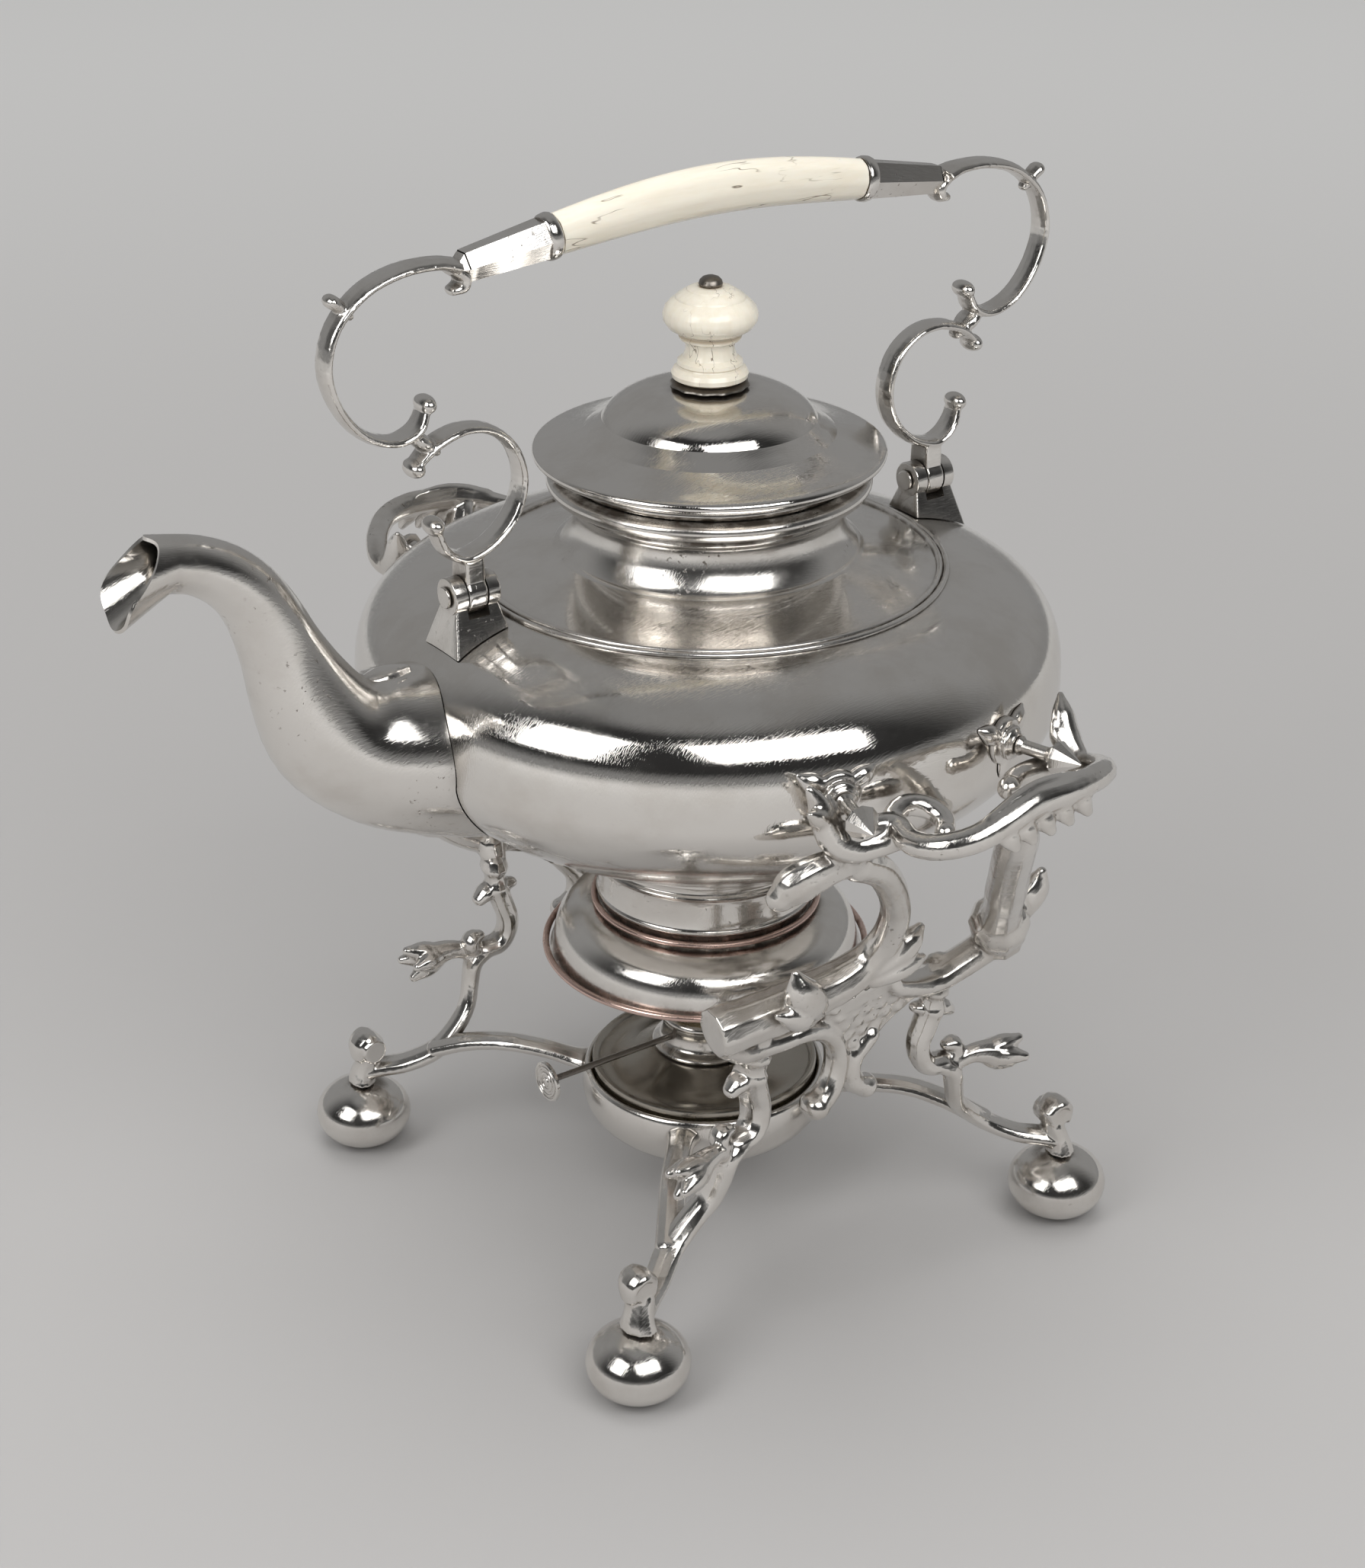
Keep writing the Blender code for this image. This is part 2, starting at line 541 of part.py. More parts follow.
def kettle_foot():
    top_z = body_height(FOOT_SEAT_R, up=False) - GAP
    neck = between(FOOT_NECK_SHARES, FOOT_NECK_R, FOOT_SEAT_R - FOOT_NECK_R, FOOT_WAIST_Z, top_z - FOOT_WAIST_Z)
    bell = between(FOOT_BELL_SHARES, FOOT_NECK_R, FOOT_RIM_R - FOOT_NECK_R, FOOT_RIM_Z, FOOT_WAIST_Z - FOOT_RIM_Z)
    outer = [(FOOT_SEAT_R, top_z), *neck, *bell]
    inner = [(r - FOOT_WALL, z) for r, z in outer]
    inner[0] = (FOOT_SEAT_R - FOOT_WALL, body_height(FOOT_SEAT_R - FOOT_WALL, up=False) - GAP)
    return turned(outer + inner[::-1])


def foot_wire(radius, z):
    """Round wire soldered on the foot."""
    centre = radius + FOOT_WIRE_R + GAP
    return turned([(centre + FOOT_WIRE_R * math.cos(a), z + FOOT_WIRE_R * math.sin(a))
                   for a in [math.tau * k / 8 for k in range(8)]])


def spout_stations(grow=0.0):
    run, rise = SPOUT_REACH - SPOUT_ROOT_X, SPOUT_MOUTH_Z - SPOUT_ROOT_Z
    return [(-SPOUT_ROOT_X - a * run, 0, SPOUT_ROOT_Z + b * rise,
             SPOUT_MOUTH_R + c * (SPOUT_ROOT_R - SPOUT_MOUTH_R) + grow) for a, b, c in SPOUT_SHARES]


def spout_skin(grow):
    rings = section_rings([(*s, s[3]) for s in smooth(spout_stations(grow), 2)], (0, 1, 0), 16)
    lip = []
    middle = sum(rings[-1], Vector()) / len(rings[-1])
    for co in rings[-1]:
        low = (middle.z - co.z) / SPOUT_MOUTH_R
        lip.append(co + Vector((-1, 0, -0.15)) * SPOUT_LIP * (0.35 + 0.65 * max(low, 0) ** 2))
    return rings + [lip]


def spout():
    """Swelling tube, open from the body to the lip, with its root cut to the body's curve."""
    outer, inner = spout_skin(0.0), spout_skin(-SPOUT_WALL)
    tube = rings_to_mesh(outer + inner[::-1], caps=False)
    return combined([tube, body_form(GAP)], 'DIFFERENCE')


def knuckle(x, half, radius=KNUCKLE_R):
    return rod((x - half, 0, HINGE_Z), (x + half, 0, HINGE_Z), radius)


def lug(side):
    x = side * HINGE_X
    seat_z = body_height(HINGE_X) - SINK
    root = frustum((x, 0, seat_z), (LUG_BASE_D, LUG_BASE_W),
                   (x, 0, HINGE_Z - KNUCKLE_R / 2), (2 * BARREL_HALF, LUG_TOP_W))
    slot_low = HINGE_Z - KNUCKLE_R - RUN
    slot = frustum((x, 0, slot_low), (2 * (KNUCKLE_HALF + RUN), LUG_BASE_W),
                   (x, 0, HINGE_Z + KNUCKLE_R + CUT_OVERRUN), (2 * (KNUCKLE_HALF + RUN), LUG_BASE_W))
    bore = knuckle(x, BARREL_HALF + CUT_OVERRUN, PIN_R + RUN)
    whole = combined([root, knuckle(x, BARREL_HALF)])
    return combined([whole, slot, bore, body_form(GAP)], 'DIFFERENCE')


def hinge_pin(side):
    x = side * HINGE_X
    inside = BARREL_HALF + GAP
    heads = [knuckle(x + s * (inside + PIN_HEAD_T / 2), PIN_HEAD_T / 2, PIN_HEAD_R) for s in (-1, 1)]
    return combined([knuckle(x, inside + PIN_HEAD_T / 2, PIN_R), *heads])


def stud_matrix(turn):
    """Turns a shape made along +Z into the stud's place on the body, with Z pointing outwards."""
    out = Vector((math.sin(turn), -math.cos(turn), 0))
    return Matrix.Translation((0, 0, STUD_Z)) @ out.to_track_quat('Z', 'Y').to_matrix().to_4x4()


def boss(turn):
    root = body_radius(STUD_Z) - SINK
    face = BOSS_FACE_R
    step = (face - body_radius(STUD_Z)) / 4
    outline = [(0, root), (BOSS_R * 0.9, root), (BOSS_R, face - 3 * step), (BOSS_R * 0.88, face - 2 * step),
               (BOSS_R * 0.62, face - 2 * step), (BOSS_R * 0.74, face - step), (BOSS_R * 0.56, face), (0, face)]
    return combined([placed(turned(outline, 16), stud_matrix(turn)), body_form(GAP)], 'DIFFERENCE')


def stud(turn):
    cone_low = STUD_TIP_R - STUD_CONE_L
    outline = [(0, BOSS_FACE_R + GAP), (STUD_SHAFT_R, BOSS_FACE_R + GAP), (STUD_SHAFT_R, cone_low - STUD_SHAFT_R / 2),
               (STUD_CONE_R, cone_low), (0, STUD_TIP_R)]
    return placed(turned(outline, 10), stud_matrix(turn))


def lid_shell():
    low_z = COLLAR_TOP_Z + GAP
    bore = NECK_R - COLLAR_WALL - BEZEL_PLAY - BEZEL_WALL
    cove = between(LID_COVE_SHARES, NECK_R, LID_EDGE_R - NECK_R, low_z, LID_TOP_Z - low_z)
    dome_low = cove[-1][1]
    flange = (LID_DOME_R, dome_low + (LID_TOP_Z - dome_low) * 0.42)
    dome = [(LID_DOME_R * a, flange[1] + (LID_TOP_Z - flange[1]) * b) for a, b in LID_DOME_SHARES]
    outer = [*cove, flange, *dome, (ROD_R + GAP, LID_TOP_Z)]
    inner = [(ROD_R + GAP, LID_TOP_Z - LID_WALL), *[(r, z - LID_WALL) for r, z in dome[::-1]],
             (LID_DOME_R, flange[1] - LID_WALL), (bore, low_z + LID_WALL), (bore, low_z)]
    return turned([*outer, *inner])


def lid_bezel():
    outer_r = NECK_R - COLLAR_WALL - BEZEL_PLAY
    top_z = COLLAR_TOP_Z
    return turned([(outer_r, top_z), (outer_r, top_z - BEZEL_DEPTH), (outer_r - BEZEL_WALL, top_z - BEZEL_DEPTH),
                   (outer_r - BEZEL_WALL, top_z)])


def pierced(outline, steps=18):
    """A turned piece with the knob rod's hole through it."""
    bore = ROD_R + GAP
    return turned([(bore, outline[0][1]), *outline, (bore, outline[-1][1])], steps)


WASHER_Z = LID_TOP_Z + GAP
KNOB_Z = WASHER_Z + WASHER_T + GAP
CAP_Z = KNOB_Z + KNOB_H + GAP


def knob_rod():
    """Threaded rod through the knob: a cap nut above, a nut inside the lid."""
    under = LID_TOP_Z - LID_WALL - GAP
    cap = [(CAP_NUT_R * a, CAP_Z + CAP_NUT_H * b) for a, b in FINIAL_SHARES]
    nut = rod((0, 0, under - HEX_NUT_H), (0, 0, under), HEX_NUT_R, segments=6)
    stem = rod((0, 0, under - HEX_NUT_H - ROD_R), (0, 0, CAP_Z + CAP_NUT_H / 2), ROD_R, segments=12)
    return combined([stem, turned([(0, CAP_Z), *cap, (0, CAP_Z + CAP_NUT_H)], 12), nut])


def arm_points(shares):
    return [(HINGE_X + a * ARM_SWELL, 0, HINGE_Z + b * ARM_RISE, c * ARM_W / 2, d * ARM_T / 2)
            for a, b, c, d in shares]


def bail_arm(side):
    """Two scrolled straps soldered where they meet, on the middle knuckle of the hinge."""
    lower = arm_points(ARM_LOWER_SHARES)
    upper = arm_points(ARM_UPPER_SHARES)
    upper[-1] = (FERRULE_OUT_X + GAP + ARM_T / 2, 0, FERRULE_OUT_Z, FERRULE_OUT_H * 0.36, FERRULE_OUT_H * 0.30)
    foot_z = lower[2][2]
    block = frustum((HINGE_X, 0, HINGE_Z), (2 * KNUCKLE_HALF, LUG_TOP_W),
                    (HINGE_X, 0, foot_z), (2 * KNUCKLE_HALF, ARM_W))
    spur_at = upper[6]
    spur = swept([(spur_at[0] - ARM_T, 0, spur_at[2], ARM_W / 3),
                  (spur_at[0] + ARM_T, 0, spur_at[2] + ARM_T * 2.4, ARM_W / 2.2)], sides=8, per=2)
    straps = [swept(lower, sides=6, per=1), swept(upper, sides=6, per=1, rounded=False)]
    join_x, join_z = HINGE_X + ARM_JOIN_SHARE[0] * ARM_SWELL, HINGE_Z + ARM_JOIN_SHARE[1] * ARM_RISE
    join = ball((join_x, 0, join_z), ARM_W * 0.65)
    whole = combined([knuckle(HINGE_X, KNUCKLE_HALF), block, *straps, spur, join])
    bore = knuckle(HINGE_X, BARREL_HALF, PIN_R + RUN)
    arm = combined([whole, bore], 'DIFFERENCE')
    return arm if side > 0 else placed(arm, Matrix.Scale(-1, 4, (1, 0, 0)))


def ferrule_stations(grow=0.0, start=0.0):
    slope = Vector((FERRULE_IN_X - FERRULE_OUT_X, 0, FERRULE_IN_Z - FERRULE_OUT_Z))
    low, high = Vector((FERRULE_OUT_X, 0, FERRULE_OUT_Z)), Vector((FERRULE_IN_X, 0, FERRULE_IN_Z))
    stations = []
    for t in (start, 0.5 + start / 2, 1.0):
        height = FERRULE_OUT_H + (FERRULE_IN_H - FERRULE_OUT_H) * t
        stations.append((*(low + slope * t), height * FERRULE_W_SHARE / 2 + grow, height / 2 + grow))
    if start:
        stations[-1] = (*(high + slope.normalized() * CUT_OVERRUN), *stations[-1][3:])
    return stations


def ferrule(side):
    """Tapered socket that holds the grip's end."""
    length = FERRULE_OUT_X - FERRULE_IN_X
    solid = rings_to_mesh(section_rings(ferrule_stations(), (0, 1, 0), 8))
    socket = rings_to_mesh(section_rings(ferrule_stations(-FERRULE_WALL, 1 - SOCKET_DEPTH / length), (0, 1, 0), 8))
    made = combined([solid, socket], 'DIFFERENCE')
    return made if side > 0 else placed(made, Matrix.Scale(-1, 4, (1, 0, 0)))


def grip():
    """Arched grip whose ends stand in the ferrules."""
    inset = SOCKET_DEPTH - RUN - GAP
    end_x = FERRULE_IN_X + inset
    tilt = (FERRULE_IN_Z - FERRULE_OUT_Z) / (FERRULE_OUT_X - FERRULE_IN_X)
    taper = (FERRULE_IN_H - FERRULE_OUT_H) / (FERRULE_OUT_X - FERRULE_IN_X) / 2
    tenon = FERRULE_IN_H / 2 - FERRULE_WALL - inset * taper
    half = tenon - RUN
    stations = [(end_x, FERRULE_IN_Z - inset * tilt, half), (FERRULE_IN_X - GAP, FERRULE_IN_Z, half)]
    for t in GRIP_SHARES:
        stations.append(((FERRULE_IN_X - GAP) * (1 - t), FERRULE_IN_Z + GRIP_ARCH * math.sin(math.pi / 2 * t),
                         half + (GRIP_MID_H / 2 - half) * math.sin(math.pi / 2 * t)))
    line = [(x, 0, z, h * FERRULE_W_SHARE, h) for x, z, h in stations]
    line += [(-x, y, z, w, h) for x, y, z, w, h in line[-2::-1]]
    return rings_to_mesh(section_rings(line, (0, 1, 0), 8))


def ball_outline(grow=0.0):
    """Flattened ball with a small flat to stand on."""
    middle, half = BALL_H / 2, BALL_H / 2
    start = math.asin(BALL_FLAT_R / BALL_R)
    line = [(0, -grow), (BALL_FLAT_R, -grow)]
    for k in range(1, 8):
        a = start + (math.pi - start) * k / 8
        line.append(((BALL_R + grow) * math.sin(a), middle - (half + grow) * math.cos(a)))
    return line + [(0, BALL_H + grow)]


def corner(sx, sy):
    return Matrix.Scale(sx, 4, (1, 0, 0)) @ Matrix.Scale(sy, 4, (0, 1, 0))


def leg_bars(grow=0.0):
    """The leg's scrolled bar, its post and its flower end, in the corner where x and y are positive."""
    bars = []
    for shares in (LEG_SHARES, POST_SHARES, TULIP_SHARES):
        points = [(x, y, z, w * LEG_W / 2, t * LEG_T / 2)
                  for x, y, z, w, t in sized(shares, FOOT_REACH, FOOT_REACH, LEG_TOP_Z)]
        bars.append(swept(points, across=(-0.35, 1, 0), sides=7, per=1, grow=grow, rounded=False))
    return bars


def foot_ball():
    return placed(turned(ball_outline(), 16), Matrix.Translation((FOOT_REACH, FOOT_REACH, 0)))


def leg():
    balls = [ball((x, y, z), share * LEG_T, segments=8)
             for x, y, z, share in sized(LEG_BALL_SHARES, FOOT_REACH, FOOT_REACH, LEG_TOP_Z)]
    seat = placed(turned(ball_outline(GAP), 16), Matrix.Translation((FOOT_REACH, FOOT_REACH, 0)))
    return combined([combined([*leg_bars(), *balls]), seat], 'DIFFERENCE')


def strut():
    line = sized(STRUT_SHARES, FOOT_REACH, FOOT_REACH, LEG_TOP_Z)
    points = [(x, y, z, STRUT_W / 2, STRUT_T / 2) for x, y, z in line]
    bar = swept(points, across=(-1, 1, 0), sides=8, per=2, rounded=False)
    return combined([bar, leg_bars(GAP)[0], turned(bowl_line(GAP))], 'DIFFERENCE')


def bowl_line(grow=0.0):
    depth = BOWL_RIM_Z - BOWL_BASE_Z
    line = [(BOWL_RIM_R * a + grow, BOWL_BASE_Z + depth * b) for a, b in BOWL_SHARES]
    line[-1] = (line[-1][0], line[-1][1] - grow)
    return [(0, line[0][1]), *line, (0, BOWL_BASE_Z - grow)] if grow else line


def lamp_bowl():
    line = bowl_line()
    inner = [(r - BOWL_WALL, max(z, BOWL_BASE_Z + BOWL_WALL)) for r, z in line]
    return turned([(0, BOWL_BASE_Z), *line[::-1], *inner, (0, BOWL_BASE_Z + BOWL_WALL)])


def lamp_cup_radius():
    return BOWL_RIM_R - BOWL_WALL - LAMP_PLAY


def lamp_reservoir():
    """Spirit cup that stands in the bowl."""
    floor = BOWL_BASE_Z + BOWL_WALL + GAP
    top = LAMP_TOP_Z - 2 * LAMP_WALL
    radius = lamp_cup_radius()
    outer = [(0, floor), (radius * 0.42, floor), (radius * 0.86, floor + (top - floor) * 0.30),
             (radius, floor + (top - floor) * 0.66), (radius, top)]
    inner = [(max(r - LAMP_WALL, 0), z + (LAMP_WALL if i < 3 else 0)) for i, (r, z) in enumerate(outer)]
    return turned(outer + inner[::-1])


def lamp_top():
    """Dished cover with a rolled rim, open in the middle for the burner."""
    low = LAMP_TOP_Z - 2 * LAMP_WALL + GAP
    radius = lamp_cup_radius()
    hole = LAMP_COLLAR_R - LAMP_COLLAR_WALL
    middle = LAMP_TOP_Z - LAMP_WALL
    high = LAMP_TOP_Z + LAMP_DISH_RISE
    return turned([(radius, low), (radius, LAMP_TOP_Z), (radius - LAMP_WALL, LAMP_TOP_Z + LAMP_WALL),
                   (radius - 3 * LAMP_WALL, LAMP_TOP_Z), ((radius + hole) * 0.6, middle), (hole, high),
                   (hole, high - LAMP_WALL), ((radius + hole) * 0.6, middle - LAMP_WALL),
                   (radius - 3 * LAMP_WALL, low)])


def lamp_collar():
    """Burner case on the cover, drilled from side to side for the winder."""
    low = LAMP_TOP_Z + LAMP_DISH_RISE + GAP
    bore = LAMP_COLLAR_R - LAMP_COLLAR_WALL
    case = turned([(bore, low), (LAMP_FLANGE_R, low), (LAMP_FLANGE_R, low + LAMP_WALL),
                   (LAMP_COLLAR_R, low + 2 * LAMP_WALL), (LAMP_COLLAR_R * 0.96, (low + LAMP_COLLAR_TOP_Z) / 2),
                   (LAMP_COLLAR_R, LAMP_COLLAR_TOP_Z), (bore, LAMP_COLLAR_TOP_Z)])
    hole = rod((-LAMP_FLANGE_R, 0, KEY_Z), (LAMP_FLANGE_R, 0, KEY_Z), KEY_R + RUN)
    return combined([case, hole], 'DIFFERENCE')


def wick_y():
    return WHEEL_R + GAP + WICK_T / 2


def burner_top():
    """Plate in the burner case with the sleeve that the flat wick slides in."""
    radius = LAMP_COLLAR_R - LAMP_COLLAR_WALL - GAP
    high = LAMP_COLLAR_TOP_Z
    plate = turned([(0, high - PLATE_T), (radius, high - PLATE_T), (radius, high), (0, high)])
    wall = RUN + SLEEVE_WALL
    low_z, top_z = high - PLATE_T / 2, high + SLEEVE_H
    outside = (WICK_W + 2 * wall, WICK_T + 2 * wall)
    inside = (WICK_W + 2 * RUN, WICK_T + 2 * RUN)
    sleeve = frustum((0, wick_y(), low_z), outside, (0, wick_y(), top_z), outside)
    slot = frustum((0, wick_y(), high - PLATE_T - CUT_OVERRUN), inside, (0, wick_y(), top_z + CUT_OVERRUN), inside)
    return combined([combined([plate, sleeve]), slot], 'DIFFERENCE')


def wick():
    size = (WICK_W, WICK_T)
    return frustum((0, wick_y(), WICK_TOP_Z - WICK_L), size, (0, wick_y(), WICK_TOP_Z), size)


def wick_rod():
    return rod((-KEY_REACH, 0, KEY_Z), (LAMP_COLLAR_R, 0, KEY_Z), KEY_R, segments=12)


def wick_wheel(side):
    """Toothed wheel that bites on the wick, bored for the rod."""
    x = side * WICK_W * WHEEL_PLACE_SHARE
    disc = rod((x - WHEEL_T / 2, 0, KEY_Z), (x + WHEEL_T / 2, 0, KEY_Z), WHEEL_R, segments=12)
    bore = rod((x - WHEEL_T, 0, KEY_Z), (x + WHEEL_T, 0, KEY_Z), KEY_R + GAP, segments=12)
    return combined([disc, bore], 'DIFFERENCE')


def wick_disc():
    """Finger disc at the rod's end, with a short hub."""
    x = -KEY_REACH - GAP
    face = rod((x - KEY_DISC_T, 0, KEY_Z), (x, 0, KEY_Z), KEY_DISC_R, segments=20)
    hub = rod((x - KEY_DISC_T - KEY_HUB_R / 2, 0, KEY_Z), (x - KEY_DISC_T / 2, 0, KEY_Z), KEY_HUB_R, segments=12)
    return combined([face, hub])


def bracket_place(share_x, share_y, share_z):
    """A place in the near bracket, which stands on the legs' tops and leans out to the loop's reach."""
    out = (share_y - BRACKET_BASE_SHARE) / (1 - BRACKET_BASE_SHARE)
    return (share_x * FOOT_REACH, -LEG_TOP_B - out * (LOOP_REACH - LEG_TOP_B), share_z * LOOP_Z)


def bracket_points(shares, radius):
    return [(*bracket_place(*row[:3]), *[share * radius for share in row[3:]]) for row in shares]


def stud_seat(turn, at_radius):
    """Centre of a branch that carries a stud's shaft from below."""
    out = Vector((math.sin(turn), -math.cos(turn), 0)) * at_radius
    return (out.x, out.y, STUD_Z - STUD_SHAFT_R - GAP - BRANCH_R, BRANCH_R)


def panel():
    points = [Vector(bracket_place(*row)) for row in PANEL_SHARES]
    back = Vector((0, PANEL_T / 2, 0))
    return rings_to_mesh([[p + back for p in points], [p - back for p in points]])


def bracket():
    """Cast branch bracket of the -Y side: log and scroll to the left, trunk and loop to the right."""
    seat_r = (BOSS_FACE_R + STUD_TIP_R - STUD_CONE_L) / 2
    left, right = [stud_seat(side * STUD_TURN, seat_r) for side in (-1, 1)]
    loop = [left, *bracket_points(LOOP_SHARES, BRANCH_R), right, *bracket_points(LOOP_END_SHARES, BRANCH_R)]
    bars = [swept(loop, across=(0, 0, 1), sides=7, per=1),
            swept(bracket_points(LOG_SHARES, LOG_R), rounded=False, sides=8, per=1),
            swept(bracket_points(LEAF_END_SHARES, LOG_R), sides=6, per=2),
            swept(bracket_points(TRUNK_SHARES, TRUNK_R), across=(1, 0, 0), sides=8, per=1),
            swept(bracket_points(COLLAR_STUB_SHARES, TRUNK_R), across=(1, 0, 0), sides=8, per=1, rounded=False),
            swept(bracket_points(TWIG_SHARES, BRANCH_R), across=(0, 0, 1), sides=6, per=2)]
    for shares in (STRAP_SHARES, LOWER_SHARES, TAIL_SHARES, HOOK_SHARES, HOOK_STEM_SHARES):
        bars.append(swept(bracket_points(shares, BRANCH_R), sides=6, per=1))
    for shares in BUD_SHARES:
        bars.append(swept(bracket_points(shares, BRANCH_R), sides=6, per=2))
    seats = []
    for side in (-1, 1):
        low = Vector((side * LEG_TOP_A, -LEG_TOP_B, LEG_TOP_Z + GAP))
        bars.append(rod(low, low + Vector((0, 0, LOG_R)), BRANCH_R * 1.1, BRANCH_R * 1.6, 12))
        size = (2 * LEG_W, 2 * LEG_W)
        seats.append(frustum(low - Vector((0, 0, LOG_R)), size, low, size))
    return combined([combined([*bars, panel()]), *seats], 'DIFFERENCE')


def stand_on_origin(root):
    """Moves the whole object so that the middle of its base is the origin."""
    bpy.context.view_layer.update()
    meshes = [obj for obj in bpy.data.objects if obj.type == 'MESH']
    corners = [obj.matrix_world @ Vector(c) for obj in meshes for c in obj.bound_box]
    for axis in (0, 1):
        values = [c[axis] for c in corners]
        root.location[axis] -= (min(values) + max(values)) / 2
    root.location.z -= min(c.z for c in corners)


def build():
    clear_scene()
    stand = empty("stand_frame", (0, 0, 0))
    lamp = empty("lamp_seat", (0, 0, BOWL_BASE_Z), stand)
    key = empty("wick_key_axis", (0, 0, KEY_Z), lamp)
    wick_line = empty("wick_line", (0, wick_y(), KEY_Z), lamp)
    kettle = empty("kettle_axis", (0, 0, STUD_Z), stand)
    lid = empty("lid_axis", (0, 0, COLLAR_TOP_Z), kettle)
    bail = empty("bail_hinge", (0, 0, HINGE_Z), kettle)

    for name, sx, sy in (("front", -1, -1), ("right", 1, -1), ("left", -1, 1), ("back", 1, 1)):
        add("leg_" + name, placed(leg(), corner(sx, sy)), "silver", stand)
        add("foot_ball_" + name, placed(foot_ball(), corner(sx, sy)), "silver", stand)
        add("strut_" + name, placed(strut(), corner(sx, sy)), "silver", stand)
    add("bracket_near", bracket(), "silver", stand)
    add("bracket_far", placed(bracket(), Matrix.Rotation(math.pi, 4, 'Z')), "silver", stand)
    add("lamp_bowl", lamp_bowl(), "silver", stand)

    add("lamp_reservoir", lamp_reservoir(), "brass", lamp)
    add("lamp_top", lamp_top(), "dark_silver", lamp)
    add("lamp_collar", lamp_collar(), "silver", lamp)
    add("burner_top", burner_top(), "brass", lamp)
    add("wick", wick(), "wick", wick_line)
    add("wick_rod", wick_rod(), "steel", key)
    add("wick_wheel_1", wick_wheel(-1), "brass", key)
    add("wick_wheel_2", wick_wheel(1), "brass", key)
    add("wick_disc", wick_disc(), "silver", key)

    add("kettle_body", kettle_body(), "silver", kettle)
    add("shoulder_wire", shoulder_wire(), "silver", kettle)
    add("neck_collar", neck_collar(), "silver", kettle)
    add("spout", spout(), "silver", kettle)
    add("kettle_foot", kettle_foot(), "silver", kettle)
    add("foot_rim_wire", foot_wire(FOOT_RIM_R, FOOT_RIM_Z + FOOT_WIRE_R), "copper_wear", kettle)
    add("foot_neck_wire", foot_wire(FOOT_NECK_R, FOOT_WAIST_Z), "copper_wear", kettle)
    for name, side in (("left", -1), ("right", 1)):
        add("bail_lug_" + name, lug(side), "silver", kettle)
        add("hinge_pin_" + name, hinge_pin(side), "silver", kettle)
    for i, turn in enumerate((-STUD_TURN, STUD_TURN, math.pi - STUD_TURN, math.pi + STUD_TURN), 1):
        add(f"stud_boss_{i}", boss(turn), "silver", kettle)
        add(f"stud_{i}", stud(turn), "silver", kettle)

    add("lid_shell", lid_shell(), "silver", lid)
    add("lid_bezel", lid_bezel(), "silver", lid)
    washer = [(WASHER_R, WASHER_Z), (WASHER_R * 0.96, WASHER_Z + WASHER_T)]
    add("knob_washer", pierced(washer), "dark_silver", lid)
    knob = [(KNOB_R * a, KNOB_Z + KNOB_H * b) for a, b in KNOB_SHARES]
    add("lid_knob", pierced(knob), "ivory", lid)
    add("knob_rod", knob_rod(), "steel", lid)

    for name, side in (("left", -1), ("right", 1)):
        add("bail_arm_" + name, bail_arm(side), "silver", bail)
        add("grip_ferrule_" + name, ferrule(side), "silver", bail)
    add("bail_grip", grip(), "ivory", bail)
    stand_on_origin(stand)


build()
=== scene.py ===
import json
import math

import bpy
from mathutils import Matrix, Vector

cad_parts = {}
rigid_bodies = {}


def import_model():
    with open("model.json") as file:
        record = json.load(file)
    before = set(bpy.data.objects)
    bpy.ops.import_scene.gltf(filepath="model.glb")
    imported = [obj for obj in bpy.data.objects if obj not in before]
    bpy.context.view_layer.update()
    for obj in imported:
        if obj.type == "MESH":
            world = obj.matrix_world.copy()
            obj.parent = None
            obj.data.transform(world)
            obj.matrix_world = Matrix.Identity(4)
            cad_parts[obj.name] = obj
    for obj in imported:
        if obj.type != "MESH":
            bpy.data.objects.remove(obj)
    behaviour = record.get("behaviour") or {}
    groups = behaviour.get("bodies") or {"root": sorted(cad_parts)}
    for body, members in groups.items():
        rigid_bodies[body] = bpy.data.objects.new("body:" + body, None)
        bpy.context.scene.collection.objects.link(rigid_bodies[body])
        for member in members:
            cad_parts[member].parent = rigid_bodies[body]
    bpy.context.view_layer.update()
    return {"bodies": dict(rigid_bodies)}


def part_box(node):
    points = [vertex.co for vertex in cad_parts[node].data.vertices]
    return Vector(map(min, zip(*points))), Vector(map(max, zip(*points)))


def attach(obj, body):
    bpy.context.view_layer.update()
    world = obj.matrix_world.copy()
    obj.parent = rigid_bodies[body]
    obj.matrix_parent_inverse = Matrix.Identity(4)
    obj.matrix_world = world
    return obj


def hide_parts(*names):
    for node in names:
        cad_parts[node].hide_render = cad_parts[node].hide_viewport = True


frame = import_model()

# The kettle's body is one hollow shell of silver-plated copper, raised by hand from sheet. Its broad
# belly narrows to the foot underneath, and a shallow cone closes it up to the neck. The spout's root
# covers a round hole in its wall. The outline is turned about the kettle's upright axis.
AXIS_X = frame["bodies"]["kettle"].matrix_world.translation.x
if abs(AXIS_X) < 1e-6:
    low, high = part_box("kettle_foot")
    AXIS_X = (low[0] + high[0]) / 2
MM = 0.001
BELLY_R = 115.1
BELLY_Z = 197.4
SHOULDER_RISE = 42.4
BELLY_DROP = 62.5
SHOULDER_POWER = 3.6
BELLY_POWER = 1.57
NECK_R = 42.6
NECK_Z = 245.7
WIRE_R = 75.4
PLATE_WALL = 1.4
UNDER_STEPS = 34
OVER_STEPS = 26
HOLE_R = 18
HOLE_DEPTH = 40
HOLE_X = 105
HOLE_Z = 197
TURN_STEPS = 160
SILVER = (0.80, 0.775, 0.74, 1)
TARNISH = (0.16, 0.135, 0.11, 1)


